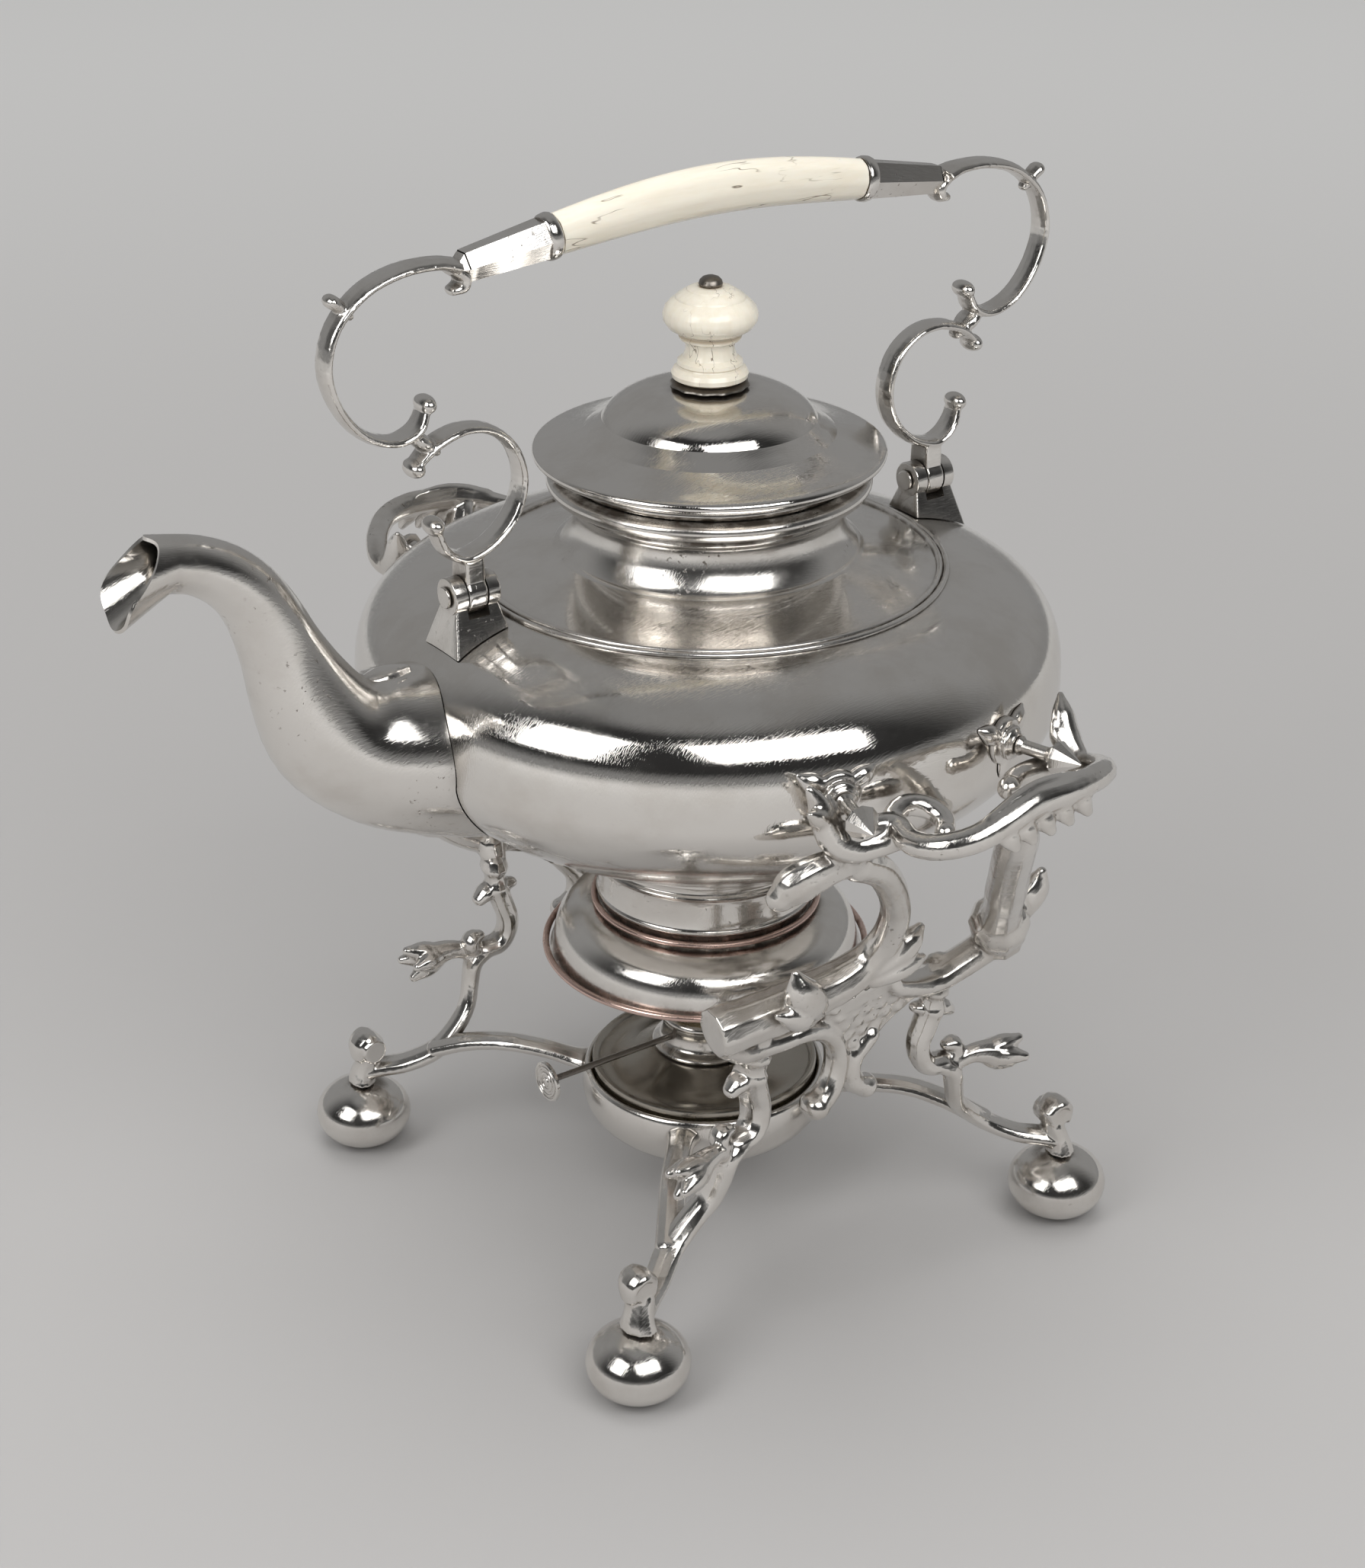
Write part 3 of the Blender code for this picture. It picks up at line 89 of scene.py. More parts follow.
def clear_selection():
    if bpy.context.object and bpy.context.object.mode != 'OBJECT':
        bpy.ops.object.mode_set(mode='OBJECT')
    bpy.ops.object.select_all(action='DESELECT')


def pick(*objs):
    clear_selection()
    for obj in objs:
        obj.select_set(True)
    bpy.context.view_layer.objects.active = objs[0]
    return objs[0]


def freeze(obj, *modifiers):
    """Adds modifiers by type and settings, and applies each in turn."""
    pick(obj)
    for kind, settings in modifiers:
        modifier = obj.modifiers.new(kind.lower(), kind)
        for key, value in settings.items():
            setattr(modifier, key, value)
        bpy.ops.object.modifier_apply(modifier=modifier.name)
    return obj


def boolean(operation, tool):
    return 'BOOLEAN', {"operation": operation, "object": tool, "solver": 'EXACT'}


def join(*parts):
    """Makes one object of several, under the first one's name."""
    obj = pick(*parts)
    if len(parts) > 1:
        bpy.ops.object.join()
    return obj


def about_axis(matrix):
    """Moves or turns about the kettle's upright axis in place of the world's."""
    return Matrix.Translation((AXIS_X, 0, 0)) @ matrix @ Matrix.Translation((-AXIS_X, 0, 0))


def settle(obj, name, angle=40):
    """Leaves a piece at the origin, unturned, with outward faces and smooth shading."""
    pick(obj)
    bpy.ops.object.transform_apply()
    bpy.ops.object.mode_set(mode='EDIT')
    bpy.ops.mesh.select_all(action='SELECT')
    bpy.ops.mesh.remove_doubles(threshold=1e-6)
    bpy.ops.mesh.normals_make_consistent(inside=False)
    bpy.ops.object.mode_set(mode='OBJECT')
    bpy.ops.object.shade_smooth_by_angle(angle=math.radians(angle))
    obj.name = name
    return obj


def lathe(name, outline, steps=TURN_STEPS, angle=40, closed=True):
    """Turns (radius, height) rows in millimetres about the kettle's axis: a ring is extruded from row
    to row. A row at radius 0 closes a pole, and a closed outline bridges its last ring to its first."""
    clear_selection()
    rows = [(max(r, 0.002) * MM, z * MM) for r, z in outline]
    bpy.ops.mesh.primitive_circle_add(vertices=steps, radius=rows[0][0], location=(AXIS_X, 0, rows[0][1]))
    obj = bpy.context.object
    bpy.ops.object.mode_set(mode='EDIT')
    bpy.ops.mesh.select_all(action='SELECT')
    for (r0, z0), (r1, z1) in zip(rows, rows[1:]):
        bpy.ops.mesh.extrude_region_move(TRANSFORM_OT_translate={"value": (0, 0, z1 - z0)})
        bpy.ops.transform.resize(value=(r1 / r0, r1 / r0, 1), center_override=(AXIS_X, 0, z1))
    bpy.ops.mesh.select_all(action='SELECT')
    bpy.ops.mesh.remove_doubles(threshold=4e-6)
    if closed and outline[0][0] > 0 and outline[-1][0] > 0:
        bpy.ops.mesh.select_all(action='DESELECT')
        bpy.ops.mesh.select_non_manifold()
        bpy.ops.mesh.bridge_edge_loops()
    bpy.ops.object.mode_set(mode='OBJECT')
    return settle(obj, name, angle)


def rounded(points, per=4):
    """Catmull-Rom curve through rows of any number of values."""
    ends = [[2 * a - b for a, b in zip(points[0], points[1])],
            [2 * a - b for a, b in zip(points[-1], points[-2])]]
    line = [ends[0], *points, ends[1]]
    out = []
    for i in range(1, len(line) - 2):
        for k in range(per):
            t = k / per
            w = (-t + 2 * t * t - t ** 3, 2 - 5 * t * t + 3 * t ** 3,
                 t + 4 * t * t - 3 * t ** 3, t ** 3 - t * t)
            out.append(tuple(sum(a * p[n] for a, p in zip(w, line[i - 1:i + 3])) / 2
                             for n in range(len(points[0]))))
    return out + [tuple(points[-1])]


def noise_of(tree, coords, scale, detail=4.0, rough=0.6, stretch=(1, 1, 1)):
    mapping = tree.nodes.new('ShaderNodeMapping')
    mapping.inputs['Scale'].default_value = stretch
    tree.links.new(coords, mapping.inputs['Vector'])
    noise = tree.nodes.new('ShaderNodeTexNoise')
    noise.inputs['Scale'].default_value = scale
    noise.inputs['Detail'].default_value = detail
    noise.inputs['Roughness'].default_value = rough
    tree.links.new(mapping.outputs['Vector'], noise.inputs['Vector'])
    return noise.outputs['Fac']


def ramp_of(tree, value, low, high, a=0.0, b=1.0):
    """Value between low and high becomes a to b."""
    ranged = tree.nodes.new('ShaderNodeMapRange')
    ranged.interpolation_type = 'SMOOTHSTEP'
    tree.links.new(value, ranged.inputs['Value'])
    for key, number in zip(('From Min', 'From Max', 'To Min', 'To Max'), (low, high, a, b)):
        ranged.inputs[key].default_value = number
    return ranged.outputs['Result']


def math_of(tree, operation, a, b):
    made = tree.nodes.new('ShaderNodeMath')
    made.operation = operation
    for socket, value in zip(made.inputs, (a, b)):
        if isinstance(value, (int, float)):
            socket.default_value = value
        else:
            tree.links.new(value, socket)
    return made.outputs[0]


def mix_of(tree, factor, a, b):
    made = tree.nodes.new('ShaderNodeMix')
    made.data_type = 'RGBA'
    for socket, value in ((made.inputs['Factor'], factor), (made.inputs['A'], a), (made.inputs['B'], b)):
        if isinstance(value, (int, float, tuple)):
            socket.default_value = value
        else:
            tree.links.new(value, socket)
    return made.outputs['Result']


def bump_of(tree, height, strength, distance):
    bump = tree.nodes.new('ShaderNodeBump')
    bump.inputs['Strength'].default_value = strength
    bump.inputs['Distance'].default_value = distance
    tree.links.new(height, bump.inputs['Height'])
    return bump.outputs['Normal']


def new_material(name):
    """A new material, its node tree and its shader."""
    made = bpy.data.materials.new(name)
    made.use_nodes = True
    return made, made.node_tree, made.node_tree.nodes['Principled BSDF']


def old_plate_group():
    """Wear of old silver plate: cloudy tarnish, dark pits and corners, hammer waves and fine scratches."""
    tree = bpy.data.node_groups.new("old_plate", 'ShaderNodeTree')
    for name, kind, start in (("Silver", 'NodeSocketColor', SILVER), ("Tarnish", 'NodeSocketColor', TARNISH),
                              ("Dirt", 'NodeSocketFloat', 0.5), ("Pits", 'NodeSocketFloat', 0.3),
                              ("Waves", 'NodeSocketFloat', 0.4), ("Polish", 'NodeSocketFloat', 0.12)):
        tree.interface.new_socket(name, in_out='INPUT', socket_type=kind).default_value = start
    for name, kind in (("Color", 'NodeSocketColor'), ("Roughness", 'NodeSocketFloat'),
                       ("Normal", 'NodeSocketVector')):
        tree.interface.new_socket(name, in_out='OUTPUT', socket_type=kind)
    given = tree.nodes.new('NodeGroupInput').outputs
    coords = tree.nodes.new('ShaderNodeTexCoord').outputs['Object']
    corner = tree.nodes.new('ShaderNodeAmbientOcclusion')
    corner.inputs['Distance'].default_value = 0.006
    corner.samples = 6
    hollow = ramp_of(tree, corner.outputs['AO'], 0.95, 0.50)
    clouds = ramp_of(tree, noise_of(tree, coords, 38, 5, 0.62), 0.42, 0.72)
    blotch = ramp_of(tree, noise_of(tree, coords, 210, 6, 0.7), 0.50, 0.66)
    rim = math_of(tree, 'MULTIPLY', hollow, ramp_of(tree, noise_of(tree, coords, 120, 4, 0.6), 0.30, 0.62))
    dirt = math_of(tree, 'MULTIPLY',
                   math_of(tree, 'MAXIMUM', rim, math_of(tree, 'MULTIPLY', clouds, 0.16)), given['Dirt'])
    pit_area = ramp_of(tree, noise_of(tree, coords, 26, 3, 0.5), 0.50, 0.68)
    pit_spot = ramp_of(tree, noise_of(tree, coords, 620, 3, 0.55), 0.64, 0.69)
    pits = math_of(tree, 'MULTIPLY', math_of(tree, 'MULTIPLY', pit_area, pit_spot), given['Pits'])
    stain = math_of(tree, 'MINIMUM', math_of(tree, 'ADD', dirt, pits), 0.92)
    warm = mix_of(tree, math_of(tree, 'MULTIPLY', clouds, 0.22), given['Silver'], (0.70, 0.64, 0.56, 1))
    colour = mix_of(tree, stain, warm, given['Tarnish'])
    base = math_of(tree, 'ADD', given['Polish'], math_of(tree, 'MULTIPLY', clouds, 0.05))
    rough = math_of(tree, 'ADD', base, math_of(tree, 'MULTIPLY', stain, 0.34))
    rough = math_of(tree, 'ADD', rough, math_of(tree, 'MULTIPLY', blotch, 0.03))
    scratch = ramp_of(tree, noise_of(tree, coords, 260, 2, 0.5, (1, 14, 3)), 0.40, 0.60)
    waves = noise_of(tree, coords, 21, 2, 0.4)
    height = math_of(tree, 'ADD', math_of(tree, 'MULTIPLY', waves, given['Waves']),
                     math_of(tree, 'MULTIPLY', scratch, 0.012))
    height = math_of(tree, 'SUBTRACT', height, math_of(tree, 'MULTIPLY', pits, 0.06))
    normal = bump_of(tree, height, 0.5, 0.0012)
    out = tree.nodes.new('NodeGroupOutput').inputs
    for name, value in (("Color", colour), ("Roughness", rough), ("Normal", normal)):
        tree.links.new(value, out[name])
    return tree


OLD_PLATE = old_plate_group()


def plate_material(name, silver=SILVER, tarnish=TARNISH, dirt=0.6, pits=0.25, waves=0.4, polish=0.12):
    made, tree, shader = new_material(name)
    shader.inputs['Metallic'].default_value = 1.0
    wear = tree.nodes.new('ShaderNodeGroup')
    wear.node_tree = OLD_PLATE
    for key, value in (('Silver', silver), ('Tarnish', tarnish), ('Dirt', dirt),
                       ('Pits', pits), ('Waves', waves),
                       ('Polish', polish)):
        wear.inputs[key].default_value = value
    for source, target in (('Color', 'Base Color'), ('Roughness', 'Roughness'), ('Normal', 'Normal')):
        tree.links.new(wear.outputs[source], shader.inputs[target])
    return made


def finish_piece(obj, material, slot, body, *nodes):
    """Gives a piece its material and its body, and hides the solids that it stands for. Its slot is not used.
    """
    obj.data.materials.clear()
    obj.data.materials.append(material)
    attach(obj, body)
    if nodes:
        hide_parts(*nodes)
    return obj


def belly_row(t, rise, power, sign):
    return (BELLY_R * math.cos(t) ** (2 / power), BELLY_Z + sign * rise * math.sin(t) ** (2 / power))


def belly_height(r):
    """Height of the body's upper surface at a radius."""
    edge = BELLY_Z + SHOULDER_RISE * (1 - (max(r,
                                               WIRE_R) / BELLY_R) ** SHOULDER_POWER) ** (1 / SHOULDER_POWER)
    return edge + (WIRE_R - r) / (WIRE_R - NECK_R) * (NECK_Z - edge) if r < WIRE_R else edge


BODY_SILVER = plate_material("body_silver", dirt=0.5, pits=0.10, waves=0.5, polish=0.06)
under_rows = [belly_row(math.pi / 2 * (1 - i / UNDER_STEPS), BELLY_DROP, BELLY_POWER, -1)
              for i in range(1, UNDER_STEPS + 1)]
top_turn = math.acos((WIRE_R / BELLY_R) ** (SHOULDER_POWER / 2))
over_rows = [belly_row(top_turn * i / OVER_STEPS, SHOULDER_RISE, SHOULDER_POWER, 1)
             for i in range(1, OVER_STEPS + 1)]
outer_rows = [(0, BELLY_Z - BELLY_DROP), *under_rows, *over_rows,
              (NECK_R + 12, belly_height(NECK_R + 12)), (NECK_R, NECK_Z)]
body_shell = lathe("body_shell", outer_rows, closed=False, angle=60)
freeze(body_shell, ('SOLIDIFY', {"thickness": PLATE_WALL * MM, "offset": -1, "use_even_offset": True}))
bpy.ops.mesh.primitive_cylinder_add(vertices=96, radius=HOLE_R * MM, depth=HOLE_DEPTH * MM,
                                    rotation=(0, math.pi / 2, 0),
                                    location=(AXIS_X - HOLE_X * MM, 0, HOLE_Z * MM))
spout_hole = bpy.context.object
freeze(body_shell, boolean('DIFFERENCE', spout_hole))
bpy.data.objects.remove(spout_hole, do_unlink=True)
settle(body_shell, "body_shell", 45)
finish_piece(body_shell, BODY_SILVER, "silver", "kettle", "kettle_body")

# A reeded wire runs round the shoulder: a fillet of silver soldered on where the cone meets the belly,
# drawn with two rounds and a groove between them.
REED_R = 1.05
reed_rows = []
for centre in (WIRE_R + REED_R, WIRE_R - REED_R):
    for k in range(7):
        a = math.radians(-20 + 200 * k / 6)
        reed_rows.append((centre + REED_R * math.cos(a), belly_height(centre) + 0.3 + REED_R * math.sin(a)))
shoulder_reed = lathe("shoulder_reed", reed_rows, angle=70)
WIRE_SILVER = plate_material("wire_silver", dirt=1.0, pits=0.15, waves=0.1, polish=0.13)
finish_piece(shoulder_reed, WIRE_SILVER, "silver", "kettle", "shoulder_wire")

# The neck is a separate turned collar with a concave waist. Beads and a coved moulding carry the flat
# rim that the lid lies on. Its waist has kept black stains where polish never reached.
NECK_SILVER = plate_material("neck_silver", dirt=1.0, pits=1.0, waves=0.12, polish=0.14)
NECK_ROWS = [(50.6, 243.0), (48.2, 244.4), (45.6, 247.6), (43.9, 251.4), (43.3, 255.4), (43.6, 257.8),
             (44.6, 258.6), (45.3, 259.6), (44.7, 260.6), (45.4, 261.2), (48.0, 262.0), (50.6, 263.2),
             (51.7, 264.7), (52.0, 266.0), (51.5, 267.3), (50.2, 268.1)]
neck_rows = [(NECK_R - 1.2, 246.1),
             *[(NECK_R + 7 - 0.4 * k, belly_height(NECK_R + 7 - 0.4 * k) + 0.32) for k in (6, 0)],
             *rounded(NECK_ROWS, 3), (41.0, 268.2)]
neck_band = lathe("neck_band", neck_rows, angle=35)
finish_piece(neck_band, NECK_SILVER, "silver", "kettle", "neck_collar")

# The lid is spun silver: a thick rolled edge over a cove, a broad flange and a low dome. The bezel
# soldered inside drops into the neck and holds it in place.
LID_SILVER = plate_material("lid_silver", dirt=0.55, pits=0.12, waves=0.30, polish=0.05)
LID_ROWS = [(46.6, 268.55), (47.4, 269.8), (47.2, 271.2), (49.6, 272.2), (53.2, 272.9), (55.4, 273.9),
            (56.3, 275.3), (55.9, 276.6), (54.4, 277.3), (50.0, 278.3), (45.0, 279.8), (40.6, 281.5),
            (37.4, 282.9), (35.7, 283.8), (34.7, 284.9), (33.9, 286.6), (32.2, 288.9), (29.2, 291.3),
            (25.0, 293.4), (19.5, 295.0), (13.0, 295.8), (2.6, 296.0)]
lid_outer = rounded(LID_ROWS, 3)
lid_inner = [(2.6, 294.6), (16.0, 293.6), (27.0, 290.8), (33.0, 287.2), (35.4, 284.9), (37.6, 283.5),
             (42.0, 280.4), (46.0, 277.6), (47.0, 275.0), (46.0, 273.2), (41.8, 270.6), (39.4, 268.55)]
lid_dome = lathe("lid_dome", [*lid_outer, *lid_inner], angle=50)
finish_piece(lid_dome, LID_SILVER, "silver", "lid", "lid_shell")
BEZEL_ROWS = [(40.4, 268.1), (40.4, 260.6), (40.0, 259.3), (39.6, 259.2), (39.3, 259.5), (39.3, 268.1)]
lid_bezel_ring = lathe("lid_bezel_ring", BEZEL_ROWS, 96)
finish_piece(lid_bezel_ring, NECK_SILVER, "silver", "lid", "lid_bezel")

# The knob is turned from one piece of ivory on a threaded steel rod. A scalloped silver rose lies
# under it and a dark domed nut closes it on top. Age has cracked its waist lengthwise.
IVORY = (0.83, 0.78, 0.67, 1)
IVORY_VEIN = (0.42, 0.27, 0.12, 1)


def ivory_material(name, along, crack):
    """Cream ivory with lengthwise grain, brown veins, hair cracks and painted shade in its grooves. along
    stretches the grain.
    """
    made, tree, shader = new_material(name)
    shader.inputs['Subsurface Weight'].default_value = 0.12
    shader.inputs['Subsurface Radius'].default_value = (0.004, 0.0025, 0.0015)
    shader.inputs['Coat Roughness'].default_value = 0.12
    shader.inputs['Coat Weight'].default_value = 0.35
    coords = tree.nodes.new('ShaderNodeTexCoord').outputs['Object']
    broad = noise_of(tree, coords, 95, 5, 0.6, along)
    fine = noise_of(tree, coords, 420, 4, 0.6, along)
    veins = ramp_of(tree, broad, 0.60, 0.80)
    grain = ramp_of(tree, fine, 0.35, 0.70)
    cracks = ramp_of(tree, noise_of(tree, coords, crack, 3, 0.55, along), 0.500, 0.508)
    back = ramp_of(tree, noise_of(tree, coords, crack, 3, 0.55, along), 0.516, 0.508)
    line = math_of(tree, 'MULTIPLY', cracks, back)
    area = ramp_of(tree, noise_of(tree, coords, 60, 2, 0.5), 0.50, 0.62)
    line = math_of(tree, 'MULTIPLY', line, area)
    # Painted shade: occlusion browns the ivory in the knob's grooves and where pieces meet.
    corner = tree.nodes.new('ShaderNodeAmbientOcclusion')
    corner.inputs['Distance'].default_value = 0.003
    groove_shade = ramp_of(tree, corner.outputs['AO'], 0.80, 0.40)
    colour = mix_of(tree, math_of(tree, 'MULTIPLY', grain, 0.22), IVORY, (0.66, 0.57, 0.41, 1))
    colour = mix_of(tree, math_of(tree, 'MULTIPLY', veins, 0.62), colour, IVORY_VEIN)
    # Painted shade mixed in by the occlusion mask.
    colour = mix_of(tree, math_of(tree, 'MULTIPLY', groove_shade, 0.55), colour, (0.36, 0.24, 0.12, 1))
    colour = mix_of(tree, math_of(tree, 'MULTIPLY', line, 0.8), colour, (0.10, 0.06, 0.03, 1))
    tree.links.new(colour, shader.inputs['Base Color'])
    tree.links.new(math_of(tree, 'ADD', 0.24, math_of(tree, 'MULTIPLY', veins, 0.12)),
                   shader.inputs['Roughness'])
    height = math_of(tree, 'SUBTRACT', math_of(tree, 'MULTIPLY', fine, 0.3), line)
    tree.links.new(bump_of(tree, height, 0.35, 0.0004), shader.inputs['Normal'])
    return made


KNOB_IVORY = ivory_material("knob_ivory", (1, 1, 0.16), 150)
KNOB_ROWS = [(10.6, 298.4), (11.9, 299.2), (12.2, 300.6), (11.5, 301.9), (10.2, 302.6), (10.0, 303.1),
             (10.4, 303.6), (10.2, 304.6), (8.6, 305.8), (7.8, 307.6), (7.7, 309.4), (8.2, 310.8),
             (9.6, 311.5), (9.9, 312.2), (9.3, 312.9), (9.2, 313.4), (11.0, 313.9), (13.2, 315.2),
             (14.7, 317.4), (15.0, 319.4), (14.3, 321.6), (12.4, 323.6), (11.1, 324.4), (10.9, 324.8),
             (10.6, 325.2), (8.6, 326.5), (7.6, 326.9), (7.3, 327.3), (5.6, 327.9), (4.0, 328.0)]
lid_knob_turned = lathe("lid_knob_turned", [(1.95, 298.35), *KNOB_ROWS, (1.95, 328.0)], 112, angle=28)
finish_piece(lid_knob_turned, KNOB_IVORY, "ivory", "lid", "lid_knob")
DARK_SILVER = plate_material("dark_silver_rose", silver=(0.34, 0.32, 0.29, 1), dirt=1.0,
                             pits=0.6, waves=0.2, polish=0.26)
ROSE_ROWS = [(1.95, 296.32), (12.1, 296.32), (12.7, 296.7), (12.5, 297.2), (11.2, 297.8), (9.0, 298.02),
             (1.95, 298.02)]
knob_rose = lathe("knob_rose", ROSE_ROWS, 144)
for vert in knob_rose.data.vertices:
    x, y = vert.co.x - AXIS_X, vert.co.y
    if math.hypot(x, y) > 10.5 * MM:
        pull = 1 - 0.045 * (0.5 + 0.5 * math.cos(12 * math.atan2(y, x)))
        vert.co.x, vert.co.y = AXIS_X + x * pull, y * pull
finish_piece(knob_rose, DARK_SILVER, "dark_silver", "lid", "knob_washer")
ROD_STEEL = plate_material("rod_steel", silver=(0.24, 0.22, 0.20, 1), tarnish=(0.06, 0.045, 0.035, 1),
                           dirt=1.0, pits=1.0, waves=0.1,
                           polish=0.26)
ROD_ROWS = [(0, 290.3), (1.6, 290.3), (1.6, 291.8), (3.4, 291.8), (4.0, 292.3), (4.0, 293.9), (3.4, 294.3),
            (1.6, 294.3), (1.6, 328.3), (3.6, 328.3), (3.8, 328.9), (3.5, 329.9), (2.6, 330.8), (1.3, 331.3),
            (0, 331.4)]
knob_bolt = lathe("knob_bolt", ROD_ROWS, 48, angle=30)
finish_piece(knob_bolt, ROD_STEEL, "steel", "lid", "knob_rod")

# The kettle's foot is a drum with reeds below the body and a bell skirt, open underneath. Its two
# outer wires are worn through to the copper.
FOOT_SILVER = plate_material("foot_silver", dirt=0.8, pits=0.5, waves=0.25, polish=0.11)
COPPER = (0.74, 0.54, 0.475, 1)
WORN_COPPER = plate_material("worn_copper", silver=COPPER, tarnish=(0.22, 0.12, 0.09, 1), dirt=0.9,
                             pits=0.3, waves=0.1, polish=0.2)
FOOT_ROWS = [(39.0, 141.2), (38.9, 140.2), (38.2, 139.4), (38.5, 138.4), (38.5, 136.9), (37.5, 136.2),
             (37.3, 134.4), (37.9, 133.6), (38.4, 132.8), (37.7, 131.9), (37.0, 131.0), (36.8, 126.5),
             (36.8, 121.0), (37.4, 119.9), (37.2, 118.7), (36.7, 117.6), (36.7, 114.2), (38.6, 113.6),
             (42.0, 112.9), (45.6, 111.4), (48.6, 109.2), (50.6, 106.2), (51.7, 102.6), (52.2, 99.4),
             (52.7, 97.6), (53.4, 96.2)]
foot_outer = rounded(FOOT_ROWS, 2)
foot_drum = lathe("foot_drum", [*foot_outer, *[(r - 1.4, z + 0.1) for r, z in foot_outer[::-3]]], angle=35)
finish_piece(foot_drum, FOOT_SILVER, "silver", "kettle", "kettle_foot")


def round_wire(name, radius, z, thick):
    """A ring of round wire, as thick each way from its centre, that lies on a wall of a radius."""
    centre = radius + thick + 0.3
    rows = [(centre + thick * math.cos(math.tau * k / 16), z + thick * math.sin(math.tau * k / 16))
            for k in range(16)]
    return lathe(name, rows, angle=80)


for name, node, radius, z, thick in (("foot_edge_wire", "foot_rim_wire", 53.4, 97.6, 1.15),
                                     ("foot_waist_wire", "foot_neck_wire", 36.7, 115.8, 1.1)):
    finish_piece(round_wire(name, radius, z, thick), WORN_COPPER, "copper_wear", "kettle", node)

# The spout swells from a broad seam on the belly and turns over to a lobed lip. It was raised as two
# halves, with a leaf drop soldered on top of its root. Its rings are extruded along its centre line.
SPOUT_SILVER = plate_material("spout_silver", dirt=0.6, pits=0.8, waves=0.5, polish=0.10)
SPOUT_STATIONS = [(-88.0, 196.8, 30.6), (-96.0, 197.6, 29.4), (-104.0, 199.0, 27.8), (-114.6, 201.6, 26.3),
                  (-125.0, 205.2, 24.4), (-135.5, 210.6, 21.3), (-142.7, 218.2, 18.9), (-148.9, 230.6, 15.8),
                  (-154.2, 244.2, 12.7), (-158.8, 255.6, 11.2), (-164.2, 265.0, 10.2), (-171.5, 272.2, 9.4),
                  (-180.0, 276.9, 8.7), (-188.0, 279.0, 8.5)]
spout_line = rounded(SPOUT_STATIONS, 3)
clear_selection()
start = spout_line[0]
bpy.ops.mesh.primitive_circle_add(vertices=64, radius=start[2] * MM, rotation=(0, math.pi / 2, 0),
                                  location=(AXIS_X + start[0] * MM, 0, start[1] * MM))
spout_tube = bpy.context.object
bpy.ops.object.transform_apply()
bpy.ops.object.mode_set(mode='EDIT')
bpy.ops.mesh.select_all(action='SELECT')
lean = 0.0
for i in range(1, len(spout_line)):
    x0, z0, r0 = spout_line[i - 1]
    x1, z1, r1 = spout_line[i]
    ahead = spout_line[min(i + 1, len(spout_line) - 1)]
    slope = math.atan2(ahead[1] - z0, x0 - ahead[0])
    centre = (AXIS_X + x1 * MM, 0, z1 * MM)
    bpy.ops.mesh.extrude_region_move(TRANSFORM_OT_translate={"value": ((x1 - x0) * MM, 0, (z1 - z0) * MM)})
    bpy.ops.transform.resize(value=(r1 / r0, r1 / r0, r1 / r0), center_override=centre)
    bpy.ops.transform.rotate(value=-(slope - lean), orient_axis='Y', center_override=centre)
    lean = slope
bpy.ops.object.mode_set(mode='OBJECT')
ring_size = 64
mesh = spout_tube.data
edge_ring = [v.index for v in mesh.vertices][-ring_size:]
edge_middle = sum((mesh.vertices[i].co for i in edge_ring), Vector()) / ring_size


def lip_shift(co, far):
    """How far a point of the mouth's ring moves out to make the pointed lobes of the lip."""
    around = math.atan2(co.y, co.z - edge_middle.z)
    low = (1 - math.cos(around)) / 2
    side = abs(math.sin(around))
    lobes = 3.4 * math.exp(-((abs(around) - 1.9) / 0.5) ** 2) + 4.2 * math.exp(-(around / 0.35) ** 2)
    reach = (4.0 + 11.5 * low ** 0.8 + lobes) * far
    drop = (-8.5 * low + 1.5 * (1 - low)) * far
    spread = 1 + 0.26 * far * side
    return Vector((co.x - reach * MM, co.y * spread, co.z + drop * MM))


pick(spout_tube)
for far in (0.34, 0.33, 0.33):
    bpy.ops.object.mode_set(mode='EDIT')
    bpy.ops.mesh.select_all(action='DESELECT')
    bpy.ops.object.mode_set(mode='OBJECT')
    for i in edge_ring:
        spout_tube.data.vertices[i].select = True
    bpy.ops.object.mode_set(mode='EDIT')
    bpy.ops.mesh.extrude_region_move(TRANSFORM_OT_translate={"value": (0, 0, 0)})
    bpy.ops.object.mode_set(mode='OBJECT')
    edge_ring = [v.index for v in spout_tube.data.vertices if v.select]
    for i in edge_ring:
        spout_tube.data.vertices[i].co = lip_shift(spout_tube.data.vertices[i].co, far)
settle(spout_tube, "spout_tube", 60)
freeze(spout_tube, ('SOLIDIFY', {"thickness": 1.1 * MM, "offset": -1, "use_even_offset": True}))


def belly_cutter(grow):
    """A solid of the body's outer form, a little larger, for cutting what is seated on it."""
    rows = [(0, BELLY_Z - BELLY_DROP - grow)]
    rows += [(r + grow * (1 if r > 20 else r / 20), z - grow * 0.4 * (1 - r / BELLY_R)) for r,
             z in under_rows]
    rows += [(r + grow * 0.6, z + grow) for r, z in over_rows]
    return lathe("belly_cutter", [*rows, (NECK_R, NECK_Z + grow), (0, NECK_Z + grow)], 128, closed=False)


cutter = belly_cutter(0.3)
freeze(spout_tube, boolean('DIFFERENCE', cutter))
settle(spout_tube, "spout_tube", 50)
finish_piece(spout_tube, SPOUT_SILVER, "silver", "kettle", "spout")

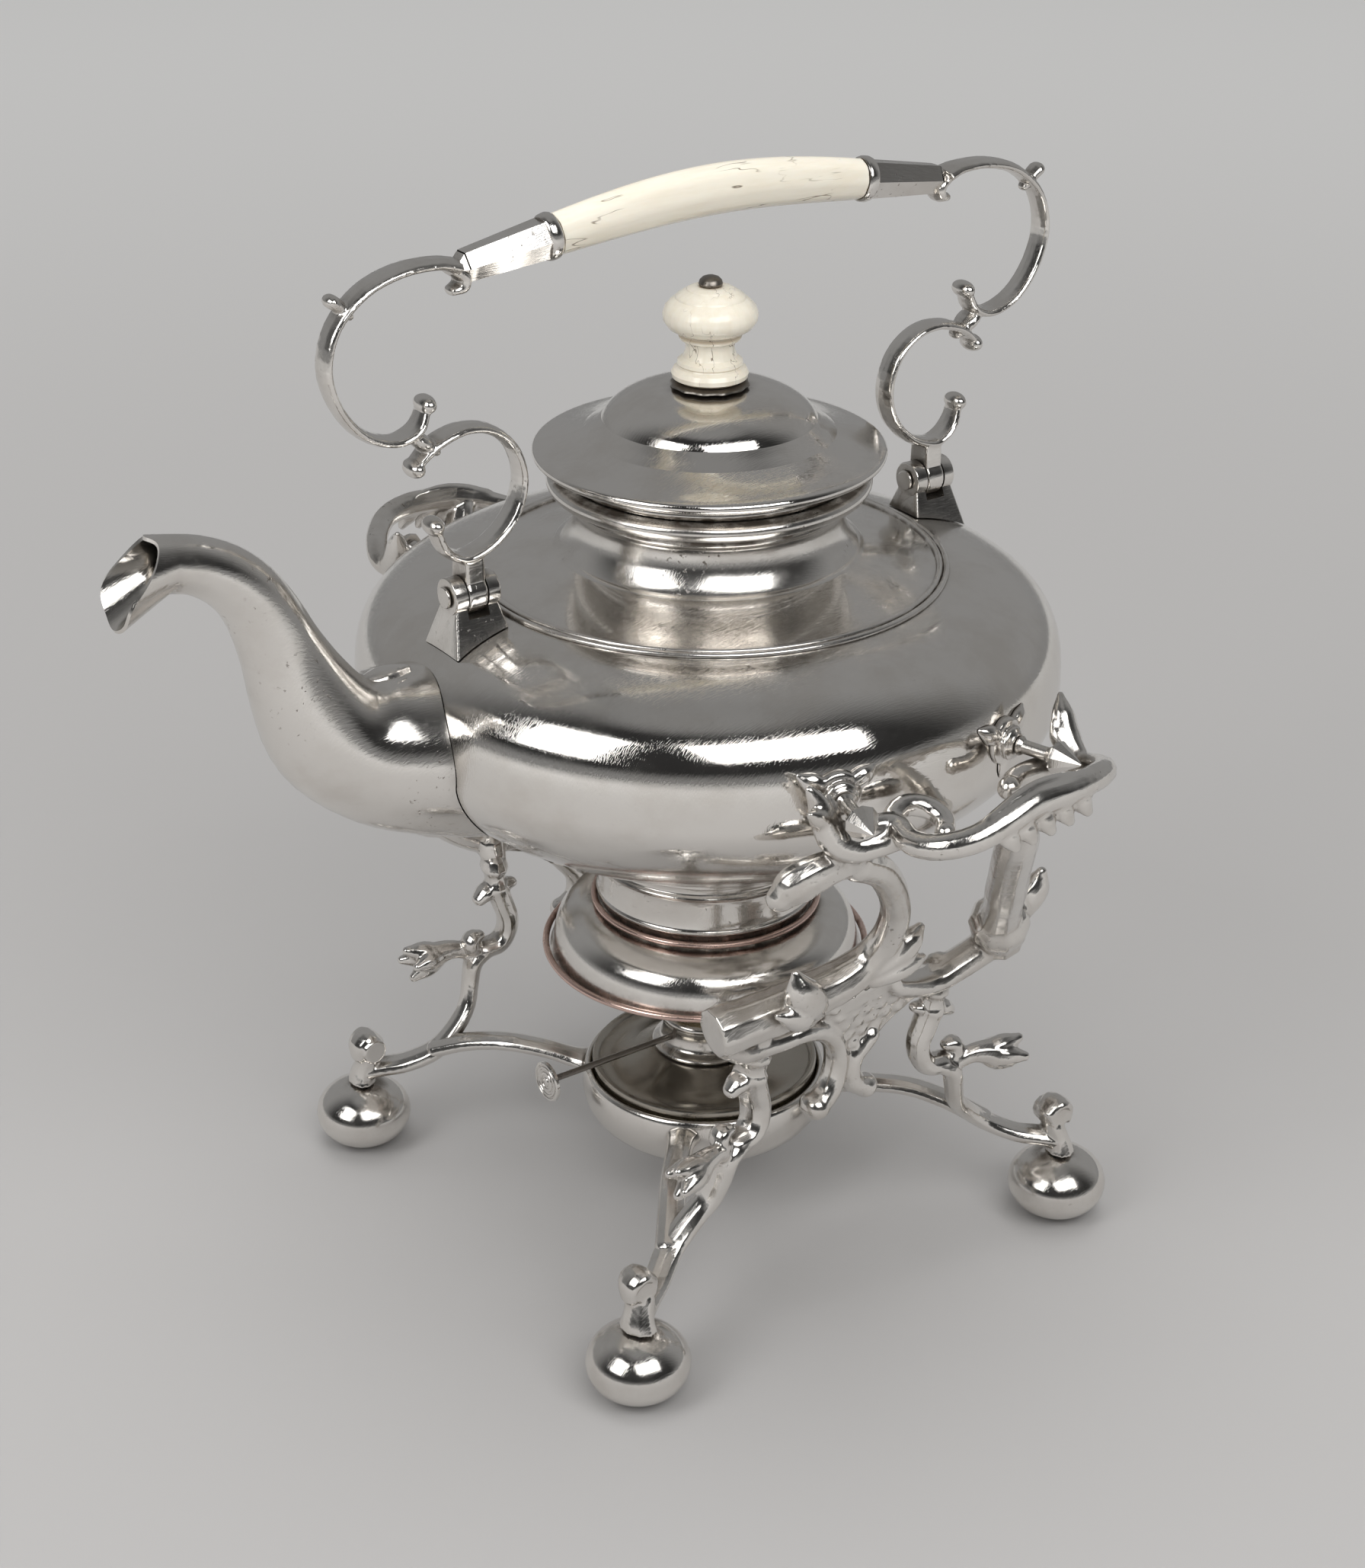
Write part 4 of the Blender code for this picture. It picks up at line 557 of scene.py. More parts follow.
# The drop is a small three-lobed leaf of cast silver. It is soldered where the top of the spout's root
# meets the belly, and hides the end of the seam there.
def cast_bar(rows, flat=1.0, across=(0, 1, 0), tips=(True, True), per=4, round_steps=3, grow=0.0):
    """A closed bar along (x, y, z, radius) rows in millimetres, widened by flat along across. Grow is
    added to each radius for what the softening of a casting takes off."""
    clear_selection()
    bpy.ops.curve.primitive_bezier_curve_add(location=(0, 0, 0))
    curve = bpy.context.object.data
    curve.splines.clear()
    line = [(x, y, z, r + grow) for x, y, z, r in rounded(rows, per)]
    for tip, (end, inside) in zip(tips, ((0, 1), (-1, -2))):
        if tip:
            x, y, z, r = line[end]
            out = (Vector((x, y, z)) - Vector(line[inside][:3])).normalized()
            dome = [(*(Vector((x, y, z)) + out * r * far), r * size) for far,
                    size in ((0.45, 0.88), (0.8, 0.58), (0.96, 0.2))]
            line = dome[::-1] + line if end == 0 else line + dome
    side = Vector(across).normalized()
    spline = curve.splines.new('POLY')
    spline.points.add(len(line) - 1)
    for point, (x, y, z, r) in zip(spline.points, line):
        place = Vector((x, y, z))
        place -= side * place.dot(side) * (1 - 1 / flat)
        point.co = (*(place * MM), 1)
        point.radius = r
    curve.bevel_depth = MM
    curve.bevel_resolution = round_steps
    curve.use_fill_caps = True
    bpy.ops.object.convert(target='MESH')
    obj = bpy.context.object
    obj.data.transform(Matrix.Translation((AXIS_X, 0, 0)) @ Matrix.Scale(flat, 4, side))
    return obj


def knob(x, y, z, r, stretch=(1, 1, 1)):
    clear_selection()
    bpy.ops.mesh.primitive_uv_sphere_add(segments=24, ring_count=14, radius=r * MM, scale=stretch,
                                         location=(AXIS_X + x * MM, y * MM, z * MM))
    bpy.ops.object.transform_apply()
    return bpy.context.object


def cast_whole(name, parts, voxel, smooth=3, lumps=0.0, lump_size=5.0):
    """Fuses the bars of a casting into one skin, softens it, and leaves it a little uneven."""
    obj = join(*parts)
    freeze(obj, ('REMESH', {"mode": 'VOXEL', "voxel_size": voxel * MM, "use_smooth_shade": True}),
           ('SMOOTH', {"factor": 0.5, "iterations": smooth}))
    if lumps:
        grain = bpy.data.textures.new(name + "_grain", 'CLOUDS')
        grain.noise_scale = lump_size * MM
        grain.noise_depth = 3
        freeze(obj, ('DISPLACE',
                     {"texture": grain, "strength": lumps * MM, "mid_level": 0.5, "texture_coords": 'LOCAL'}))
    return settle(obj, name, 60)


def turned_copy(obj, name, matrix):
    """A copy with its own mesh, moved about the kettle's axis. A mirrored one has its faces turned back."""
    copy = obj.copy()
    copy.data = obj.data.copy()
    bpy.context.collection.objects.link(copy)
    copy.data.transform(about_axis(matrix))
    if matrix.determinant() < 0:
        copy.data.flip_normals()
    copy.name = name
    return copy


HALF_TURN = Matrix.Rotation(math.pi, 4, 'Z')
drop_parts = [cast_bar([(-113, 0, 227.5, 1.6), (-118, 0, 227, 3.0),
                        (-123, 0, 226.5, 3.2), (-128, 0, 227, 1.5)], 1.5),
              cast_bar([(-112, -3, 225.5, 1.4), (-118, -5.5, 225.6, 2.0), (-122, -7.5, 225.8, 0.9)]),
              cast_bar([(-112, 3, 225.5, 1.4), (-118, 5.5, 225.6, 2.0), (-122, 7.5, 225.8, 0.9)])]
spout_drop = cast_whole("spout_drop", drop_parts, 0.5, 2)
CAST_SILVER = plate_material("cast_silver", dirt=1.0, pits=0.7, waves=0.8, polish=0.13)
finish_piece(spout_drop, CAST_SILVER, "silver", "kettle")

# Each side bracket is one casting in the form of cut branches: a log with a leaf scroll, a trunk that
# leans out to a twisted loop, and a small diapered shield between the tops of two legs. It was
# chased after casting and soldered on the legs. The far one is the same casting turned half round.
LOG = [(-57.2, -83.9, 120.6, 7.6), (-52, -84.3, 121.1, 8.1), (-46.2, -84.9, 121.5, 7.7),
       (-41, -85.4, 121.9, 7.7), (-35, -86.1, 122.5, 7.6), (-24, -87, 124.1, 7.4), (-12, -88, 126.2, 6.8),
       (-3.6, -89.6, 130.1, 6.0), (0.6, -92.4, 136, 5.3), (1.4, -96.8, 144.4, 4.8), (-1, -102, 155.3, 4.5),
       (-8, -107.8, 167.6, 4.5), (-17.5, -113, 178.8, 4.8), (-29, -116.3, 186.2, 5.2)]
LEAF_END = [(-27, -116.3, 185.6, 4.6), (-36, -117.2, 188.3, 5.3), (-45, -116.6, 187.4, 6.5),
            (-51, -115, 184.5, 6.8), (-54.3, -113.8, 181.6, 4.8)]
STRAP = [(-50.6, -82.2, 112.2, 3.1), (-44.4, -80.6, 108.4, 3.7), (-37.3, -79.5, 107.6, 4.0),
         (-28.4, -79.8, 107.1, 3.7), (-19.5, -80.6, 107.5, 3.5), (-10.7, -79.4, 103.7, 3.3),
         (-4.6, -78.1, 96.5, 3.3), (-3.2, -77.8, 88, 3.3), (-5.5, -77.8, 79.9, 3.5), (-10.4, -77.8, 75, 3.6)]
TAIL = [(8.9, -79.4, 96, 2.8), (2.7, -78.1, 88, 3.1), (2.7, -78, 79.9, 3.4), (7.5, -78, 76.1, 3.4)]
LOWER = [(12.5, -84.9, 118.4, 2.2), (14.7, -84.5, 114.6, 3.0), (22.2, -83.1, 111.4, 3.8),
         (31.1, -82.2, 109.6, 4.2), (40, -82.9, 111.8, 4.4), (49.7, -86, 117.3, 4.5), (55.1, -89, 122.8, 4.9)]
STUB = [(57.4, -85.4, 118.4, 7.2), (56, -87, 120.6, 8.6), (53.6, -89.4, 123.8, 8.2),
        (51.2, -91.8, 127.2, 8.6), (49.4, -94.2, 130.4, 9.9), (47.4, -97, 134.2, 9.4),
        (46.0, -98.9, 136.8, 7.4)]
TRUNK = [(51.5, -91.4, 126.6, 6.5), (45.2, -99.2, 136.8, 6.8), (39.1, -106.9, 146.6, 6.2),
         (31, -116.8, 159, 6.6), (22.2, -127.4, 172.6, 6.3), (14.8, -136.8, 185, 6.4),
         (8, -145.7, 196.6, 6.0), (2.7, -151.1, 206.5, 4.9)]
LOOP = [(-35.5, -122.1, 201.4, 3.4), (-23.5, -125.9, 201.4, 3.4), (-24.9, -136.4, 200.6, 3.5),
        (-21.8, -146, 202.3, 3.6), (-13.8, -152.0, 205.3, 3.8), (-4, -153.6, 209.1, 4.1),
        (6.2, -153.6, 212.1, 4.3), (17.8, -154.2, 212.5, 4), (28.4, -152.8, 212.5, 3.8),
        (37.3, -148.5, 210.8, 3.6), (44.4, -140.3, 207, 3.5), (47.1, -131.8, 203.4, 3.5),
        (43.5, -124, 201.9, 3.4), (35.5, -122.1, 201.3, 3.4), (27, -122.4, 201, 3.2),
        (21.3, -125.9, 200.6, 3)]
TWIG = [(-24, -124, 201, 2.8), (-16, -121.2, 203.4, 3.1), (-9.3, -124, 202.3, 3.1),
        (-7.5, -129.9, 200.2, 2.9), (-10.7, -134.5, 198.5, 2.2)]
HOOK = [(-22.3, -130.4, 199.3, 3.1), (-29, -125.6, 196.6, 3.7), (-35.1, -122.5, 195.9, 4.2),
        (-41.3, -120.6, 199.2, 4.1), (-44, -119.2, 206.4, 3.6), (-45.4, -118.2, 211.6, 2.8),
        (-48.2, -117.6, 216.4, 1.0)]
HOOK_STEM = [(-30.1, -116.6, 186.8, 4.2), (-34.6, -121.2, 195.1, 3.8)]
BUDS = [[(-25, -91, 122, 4.4), (-29.5, -96.2, 127.9, 6.2),
         (-34.5, -98.8, 135.4, 5.6), (-37, -98.8, 142.6, 1.2)],
        [(-27, -93, 121.1, 3.2), (-33.8, -97.6, 125.3, 4.6),
         (-39.6, -99, 128.3, 3.2), (-43.2, -98.5, 129.4, 0.9)],
        [(-2, -92.1, 127.9, 3.4), (4.6, -94.4, 132.6, 5.0),
         (10.6, -95.4, 137.4, 4.6), (14.6, -95.4, 140.8, 1.6)],
        [(-1, -93.1, 125.9, 2.8), (6.2, -96.1, 128.6, 3.6),
         (12.6, -96.6, 130.0, 2.6), (15.6, -96.4, 130.6, 0.9)],
        [(47.1, -128.6, 203.4, 2.8), (47.5, -122.2, 208.2, 3.7),
         (48.4, -118, 214.6, 3.4), (49.9, -114.9, 219.7, 0.8)],
        [(46.1, -126.6, 204.4, 2.0), (44.5, -121.2, 209.2, 2.4), (44.6, -118.5, 213, 0.8)],
        [(53.5, -94.6, 131, 4.2), (57.2, -96, 136.4, 5.6), (60.2, -98, 142.4, 5.3), (61.4, -99.6, 148, 1.8)],
        [(-43.6, -119.6, 205.4, 2.8), (-47.6, -121, 208.4, 2.6), (-50.6, -121.6, 210.6, 1.0)],
        [(-42.4, -120.0, 200.2, 3.0), (-39.8, -117.9, 206.0, 2.4), (-40.8, -117.0, 211.4, 1.0)]]
LEAF_LOBES = [[(x, -153.6, z, 3.2), (x + 2.6, -155.4, z - 3.6, 3.4), (x + 4.4, -156.1, z - 6.6, 1.9)]
              for x, z in ((-7, 207.4), (-0.5, 208.0), (6.5, 209.0), (13.5, 210.0), (20.5, 211.2))]
LEAF_LOBES += [[(-9, -152.6, 209.5, 3.0), (2, -152.4, 213.8, 3.2),
                (12, -152.4, 215.6, 2.8), (21, -152.0, 216.0, 1.2)],
               [(10, -153.6, 213.0, 3.6), (22, -153.9, 213.6, 3.8),
                (31, -152.0, 213.2, 3.0), (37, -149.0, 212.0, 1.4)]]
SHIELD = [(-16.5, -85, 119.5), (-4, -84.2, 116.2), (8, -84.8, 119.5), (20, -82.6, 112.2), (35.5, -80, 107.2),
          (24, -79.6, 103.4), (16, -78.7, 98.2), (10, -78.3, 93.4), (6.2, -78.1, 88.2), (2.4, -78, 80.8),
          (-3.4, -78, 81.2), (-4.3, -78, 87.1), (-5.4, -78.4, 96), (-9.0, -79.0, 102.6), (-12.4, -80.6, 110)]
clear_selection()
bpy.ops.mesh.primitive_circle_add(vertices=len(SHIELD), radius=MM, fill_type='NGON')
shield = bpy.context.object
for vert, place in zip(shield.data.vertices, SHIELD):
    vert.co = Vector(place) * MM + Vector((AXIS_X, 1.2 * MM, 0))
bpy.ops.object.mode_set(mode='EDIT')
bpy.ops.mesh.select_all(action='SELECT')
bpy.ops.mesh.extrude_region_move(TRANSFORM_OT_translate={"value": (0, -3.2 * MM, 0)})
bpy.ops.mesh.select_all(action='SELECT')
bpy.ops.mesh.normals_make_consistent(inside=False)
bpy.ops.object.mode_set(mode='OBJECT')
CAST_GROW = 0.45
bracket_parts = [cast_bar(LOG, tips=(False, True), grow=CAST_GROW),
                 cast_bar(LEAF_END, 0.8, (0.2, 1, 0.5), grow=CAST_GROW),
                 cast_bar(TRUNK, grow=CAST_GROW / 2),
                 cast_bar(STUB, tips=(False, False), grow=CAST_GROW / 2), shield]
bracket_parts += [cast_bar(rows, grow=CAST_GROW) for rows in (LOOP, TWIG, HOOK, HOOK_STEM)]
bracket_parts += [cast_bar(rows, 1.3, grow=CAST_GROW) for rows in (STRAP, TAIL, LOWER)]
bracket_parts += [cast_bar(rows, 0.85, (0.1, 1, 0.3), grow=CAST_GROW) for rows in BUDS]
bracket_parts += [cast_bar(rows, 0.75) for rows in LEAF_LOBES]
bracket_parts += [knob(-11.5, -77.8, 74.6, 4.8, (1, 1.2, 1)),
                  knob(8.6, -78, 75.6, 4.3, (1, 1.2, 1)), knob(12.6, -85, 118.6, 3.0),
                  knob(-51.4, -82.2, 112.6, 3.4), knob(21.0, -126.2, 200.8, 3.8),
                  knob(-10.6, -134.4, 198.6, 3.4)]
for side in (-1, 1):
    rows = [(side * 37.5, y, z, r) for y, z, r in ((-77.4, 104.8, 4.3), (-77.8, 107, 4.8), (-79.4, 111, 5.6))]
    bracket_parts.append(cast_bar(rows, tips=(False, True)))
# Beads in diamond order, kept inside the shield's slanting edges.
for i in range(7):
    for k in range(7):
        x, z = -12 + 5.6 * i + 2.8 * (k % 2), 118 - 4.6 * k
        low_edge = 84 + max(x - 2, 0) * 0.95 + max(-2 - x, 0) * 2.4
        if low_edge + 3 < z < 118.5 - max(x - 8, 0) * 0.42 and x < 27:
            y = -80.2 - (z - 98) * 0.24 if z > 98 else -80.1
            bracket_parts.append(knob(x, y, z, 1.9, (1.15, 0.75, 1.15)))
bracket_near_cast = cast_whole("bracket_near_cast", bracket_parts, 0.7, 2, 0.22, 6)
finish_piece(bracket_near_cast, CAST_SILVER, "silver", "stand", "bracket_near")
finish_piece(turned_copy(bracket_near_cast, "bracket_far_cast", HALF_TURN), CAST_SILVER,
             "silver", "stand", "bracket_far")

# Four scrolled legs of cast silver, one casting and its mirror image. Each has a ringed neck under the
# bracket, two C scrolls, a tulip on a side stem, and a volute over the post that holds the ball.
LEG_UPPER = [(37.5, 77.4, 104.3, 3.9), (37.5, 77.4, 102.2, 4.2), (37.5, 77.4, 100.3, 2.9),
             (37.3, 77.0, 97.4, 3.0), (37.3, 76.8, 95.2, 3.6), (36.6, 76.4, 92.4, 3.3),
             (35.2, 75.8, 87.4, 3.2), (33.8, 75.3, 82.2, 3.1), (34.3, 75.5, 76.4, 3.0),
             (37.6, 75.9, 72.2, 2.9), (43.5, 76.5, 71.2, 2.7)]
LEG_LOWER = [(41.5, 76.5, 71.4, 2.4), (47.2, 77.1, 67.4, 2.6), (49.4, 76.5, 59.6, 2.3),
             (51.9, 74.8, 52.2, 2.2), (57.1, 73.3, 46, 2.2), (65.9, 73.9, 38.2, 2.3), (75.2, 79.6, 32.9, 2.3),
             (82.6, 84.4, 31.2, 2.3), (87.5, 87.7, 30.4, 2.6)]
POST = [(86.6, 86.9, 35.8, 3.6), (88.0, 88.1, 31.0, 3.7), (88.7, 88.7, 27.6, 4.3), (88.8, 88.8, 25.8, 4.9)]
TULIP = [(45.3, 77.4, 68.4, 1.7), (52.4, 79.6, 72.1, 2.3), (58.0, 81.2, 72.2, 3.2), (61.8, 82.1, 70.8, 4.4)]
LEG_ACROSS = (-0.35, 1, 0)
PETAL_TIPS = ((70.4, 84.4, 75.0), (69.0, 82.6, 64.6), (69.4, 78.6, 70.8), (70.4, 88.2, 69.6))
leg_parts = [cast_bar(LEG_UPPER, 1.45, LEG_ACROSS, grow=0.9), cast_bar(LEG_LOWER, 1.6, LEG_ACROSS, grow=0.9),
             cast_bar(POST, 1.35, LEG_ACROSS, tips=(True, False), grow=0.3), cast_bar(TULIP, grow=1.0),
             cast_bar([(31.8, 75.2, 95.6, 2.0), (36, 76.2, 94.8, 2.9), (41.5, 76.6, 93.8, 3.2),
                       (44.6, 76.6, 91.6, 2.4)], 1.4),
             cast_bar([(44.2, 76.5, 70.6, 2.4), (48.6, 76.5, 73.6, 3.2), (48.0, 76.5, 76.8, 3.0),
                       (45.0, 76.5, 77.2, 2.0)], 1.3),
             cast_bar([(86.9, 80.8, 40.2, 4.4), (86.9, 85.9, 40.2, 5.2), (86.9, 91.0, 40.2, 4.4)],
                      tips=(False, False)),
             cast_bar([(91.4, 87, 37.0, 1.8), (91.2, 87, 42.0, 2.1), (87.2, 87, 44.8, 2.3),
                       (83.0, 87, 41.6, 1.8)], 2.3)]
for tip in PETAL_TIPS:
    base = (57.5, 81.2, 71.6)
    middle = tuple(a * 0.45 + b * 0.55 for a, b in zip(base, tip))
    leg_parts.append(cast_bar([(*base, 3.2), (*middle, 4.0), (*tip, 1.8)]))
leg_first = cast_whole("leg_cast_back", leg_parts, 0.5, 2, 0.15, 5)
CORNERS = (("back", 1, 1), ("front", -1, -1), ("right", 1, -1), ("left", -1, 1))


def corner(sx, sy):
    return Matrix.Scale(sx, 4, (1, 0, 0)) @ Matrix.Scale(sy, 4, (0, 1, 0))


def finish_corners(first, stem, node):
    """Finishes a casting of the back corner, and its mirror images for the other three."""
    for place, sx, sy in CORNERS:
        piece = first if place == "back" else turned_copy(first, stem + place, corner(sx, sy))
        finish_piece(piece, CAST_SILVER, "silver", "stand", node + place)


finish_corners(leg_first, "leg_cast_", "leg_")

# The feet are hollow balls of silver, flatter than they are wide, with a small flat to stand on. One is
# turned and copied under each leg's post.
BALL_SILVER = plate_material("ball_silver", dirt=0.9, pits=0.35, waves=0.5, polish=0.085)
BALL_R = 17
BALL_HALF = 12.6
FOOT_REACH = 88.8
ball_rows = [(0, 0), (4.6, 0), (5.2, 0.15)]
for k in range(22):
    a = math.radians(20 + 160 * k / 22)
    ball_rows.append((BALL_R * math.sin(a), BALL_HALF - BALL_HALF * math.cos(a)))
ball_first = lathe("foot_ball_turned", [*ball_rows, (0, 2 * BALL_HALF)], 72, closed=False, angle=60)
for place, sx, sy in CORNERS:
    seat = Matrix.Translation((sx * FOOT_REACH * MM, sy * FOOT_REACH * MM, 0))
    ball = turned_copy(ball_first, "ball_" + place, seat)
    finish_piece(ball, BALL_SILVER, "silver", "stand", "foot_ball_" + place)
bpy.data.objects.remove(ball_first, do_unlink=True)

# Four struts of cast silver, oval in section, run in from the legs' lower scrolls to the rim of the
# lamp's bowl and carry it. They are one casting and its mirror images, soldered at both ends.
STRUT = [(66.4, 74.2, 38.4, 2.5), (58.2, 63.5, 43.7, 2.3), (49.7, 52.4, 46.4, 2.2), (40.4, 41.7, 45.8, 2.2),
         (33.6, 33.7, 44.0, 2.4), (30.4, 30.4, 43.2, 3.1)]
strut_first = cast_whole("strut_cast_back", [cast_bar(STRUT, 1.6, (-1, 1, 0), grow=0.7)], 0.45, 2, 0.1, 5)
finish_corners(strut_first, "strut_cast_", "strut_")

# The lamp stands in a spun bowl. It is a low cup with a dished cover, a burner case and a flat wick
# that a long key winds up through its slot.
BOWL_SILVER = plate_material("bowl_silver", dirt=0.7, pits=0.3, waves=0.3, polish=0.11)
BOWL_ROWS = [(39.9, 48.0), (40.6, 48.5), (41.5, 48.2), (42.2, 47.0), (42.7, 44.4), (42.9, 41.6), (42.5, 37.6),
             (41.0, 33.6), (37.6, 29.6), (32.4, 26.6), (25.6, 24.8), (18.2, 24.1), (9, 24.0), (0, 24.0)]
bowl_rows = rounded(BOWL_ROWS, 2)
bowl_inside = [(0, 25.3), (18, 25.3), (25.2, 26.0), (31.6, 27.8), (36.6, 30.6), (39.6, 34.4), (40.1, 38),
               (40.1, 47.6)]
lamp_bowl_spun = lathe("lamp_bowl_spun", [*bowl_inside, *bowl_rows], 128, closed=False)
finish_piece(lamp_bowl_spun, BOWL_SILVER, "silver", "stand", "lamp_bowl")
LAMP_BRASS = plate_material("lamp_brass", silver=(0.56, 0.47, 0.30, 1), tarnish=(0.13, 0.10, 0.06, 1),
                            dirt=0.9, pits=0.7, waves=0.3, polish=0.2)
CUP_ROWS = [(0, 25.7), (16.5, 25.7), (26, 27.4), (33.6, 32.4), (37.6, 37.4), (39.2, 42), (39.2, 48.4),
            (38.2, 48.4), (38.2, 42.3), (36.6, 38), (32.6, 33.4), (25.4, 28.6), (16.2, 26.8), (0, 26.8)]
finish_piece(lathe("lamp_cup", CUP_ROWS, 112, closed=False), LAMP_BRASS, "brass", "lamp", "lamp_reservoir")
DISH_SILVER = plate_material("dish_silver", silver=(0.42, 0.39, 0.34, 1), dirt=0.9,
                             pits=0.9, waves=0.4, polish=0.16)
DISH_ROWS = [(39.2, 48.8), (39.4, 50.2), (38.9, 51.2), (38.0, 51.4), (37.2, 50.9), (36.6, 49.9), (34.5, 49.4),
             (30.6, 49.6), (26, 51.6), (21, 54.4), (17.6, 56.0), (13.5, 56.5), (13.5, 55.5), (17.2, 55.0),
             (20.6, 53.4), (25.6, 50.6), (30.4, 48.6), (36.4, 48.8)]
finish_piece(lathe("lamp_dish", DISH_ROWS, 128), DISH_SILVER, "dark_silver", "lamp", "lamp_top")
CASE_ROWS = [(13.4, 56.8), (18.0, 56.8), (18.2, 57.5), (17.6, 58.3), (16.0, 58.9), (15.3, 59.6), (15.0, 60.6),
             (14.5, 62.5), (14.5, 65), (14.8, 66.6), (15.3, 67.4), (15.3, 68.4), (14.8, 69.0), (13.4, 69.0)]
finish_piece(lathe("burner_case", CASE_ROWS, 96), BOWL_SILVER, "silver", "lamp", "lamp_collar")
WICK_Y = 4.2
WICK_SIZE = (13.8, 2.1, 39.8)
WICK_Z = 56
SLEEVE_SIZE = (16.8, 5.0, 7.2)
SLIT_SIZE = (14.8, 3.0, 20)
SLEEVE_Z = 71.4
plate_rows = [(0, 67.6), (12.9, 67.6), (13.1, 67.8), (13.1, 68.8), (12.8, 69.0), (0, 69.0)]
burner_plate = lathe("burner_plate", plate_rows, 64, closed=False)
clear_selection()
bpy.ops.mesh.primitive_cube_add(size=MM, scale=SLEEVE_SIZE, location=(AXIS_X, WICK_Y * MM, SLEEVE_Z * MM))
sleeve = bpy.context.object
bpy.ops.mesh.primitive_cube_add(size=MM, scale=SLIT_SIZE, location=(AXIS_X, WICK_Y * MM, SLEEVE_Z * MM))
slit = bpy.context.object
for part in (sleeve, slit):
    pick(part)
    bpy.ops.object.transform_apply()
freeze(sleeve, ('BEVEL', {"width": 0.5 * MM, "segments": 3}))
freeze(burner_plate, boolean('UNION', sleeve), boolean('DIFFERENCE', slit))
for part in (sleeve, slit):
    bpy.data.objects.remove(part, do_unlink=True)
finish_piece(settle(burner_plate, "burner_plate"), LAMP_BRASS, "brass", "lamp", "burner_top")
wick_cotton, tree, shader = new_material("wick_cotton")
shader.inputs['Sheen Weight'].default_value = 0.3
coords = tree.nodes.new('ShaderNodeTexCoord').outputs['Object']
weave = noise_of(tree, coords, 900, 2, 0.5, (1, 1, 0.25))
char = tree.nodes.new('ShaderNodeSeparateXYZ')
tree.links.new(coords, char.inputs['Vector'])
burnt = ramp_of(tree,
                math_of(tree, 'ADD', char.outputs['Z'], math_of(tree, 'MULTIPLY', weave, 0.003)), 0.0725,
                0.0775)
tree.links.new(mix_of(tree, burnt, (0.72, 0.66, 0.52, 1), (0.03, 0.025, 0.02, 1)),
               shader.inputs['Base Color'])
tree.links.new(ramp_of(tree, weave, 0.2, 0.8, 0.8, 0.98), shader.inputs['Roughness'])
tree.links.new(bump_of(tree, weave, 0.8, 0.0004), shader.inputs['Normal'])
clear_selection()
bpy.ops.mesh.primitive_cube_add(size=MM, scale=WICK_SIZE, location=(AXIS_X, WICK_Y * MM, WICK_Z * MM))
wick_tape = bpy.context.object
bpy.ops.object.transform_apply()
freeze(wick_tape, ('BEVEL', {"width": 0.7 * MM, "segments": 4}))
finish_piece(settle(wick_tape, "wick_tape"), wick_cotton, "wick", "wick_strip", "wick")

# The wick key is a steel rod with two toothed wheels inside the burner's case. The silver disc on its
# outer end is turned with plain rings, and is what the fingers hold.
KEY_Z = 62.5
KEY_END_X = -64
KEY_R = 1.1
KEY_GAP = 0.3
key_rod = cast_bar([(x, 0, KEY_Z, KEY_R) for x in (KEY_END_X, -40, 15)],
                   tips=(False, True), per=2, round_steps=6)
finish_piece(settle(key_rod, "key_rod"), ROD_STEEL, "steel", "wick_key", "wick_rod")


def turn_to_x(obj, x, z, name):
    """Lays a piece turned about the upright axis along X, with its height 0 at x."""
    obj.data.transform(about_axis(Matrix.Translation((x * MM, 0, z * MM)) @ Matrix.Rotation(-math.pi / 2, 4,
                                                                                            'Y')))
    obj.name = name
    return obj


for number, x in ((1, -4.2), (2, 4.2)):
    wheel = lathe("wheel", [(1.4, -0.8), (2.8, -0.8), (2.8, 0.8), (1.4, 0.8)], 48)
    for vert in wheel.data.vertices:
        if math.hypot(vert.co.x - AXIS_X, vert.co.y) > 2.5 * MM:
            cut = 1 - 0.12 * (0.5 + 0.5 * math.cos(12 * math.atan2(vert.co.y, vert.co.x - AXIS_X)))
            vert.co.x, vert.co.y = AXIS_X + (vert.co.x - AXIS_X) * cut, vert.co.y * cut
    finish_piece(turn_to_x(wheel, x, KEY_Z, f"key_wheel_{number}"), LAMP_BRASS, "brass",
                 "wick_key", f"wick_wheel_{number}")
DISC_ROWS = [(0, 0), (6.4, 0), (7.0, 0.3), (7.0, 1.3), (6.6, 1.6), (6.1, 1.6), (5.9, 1.35), (5.5, 1.35),
             (5.3, 1.6), (4.7, 1.62), (4.5, 1.4), (3.6, 1.35), (3.4, 1.6), (2.6, 1.66), (2.4, 1.45),
             (1.7, 1.5), (1.5, 1.8), (0.6, 2.0), (0, 2.0)]
key_disc = lathe("key_disc", DISC_ROWS, 96, closed=False, angle=30)
finish_piece(turn_to_x(key_disc, KEY_END_X - KEY_GAP, KEY_Z, "key_disc"), CAST_SILVER,
             "silver", "wick_key", "wick_disc")

# Two hinge lugs stand on the shoulder: a pyramid foot, and two knuckles with a slot between them for
# the bail's own knuckle. A pin with domed heads runs through all three.
HINGE_X = 89.7
HINGE_Z = 247.3


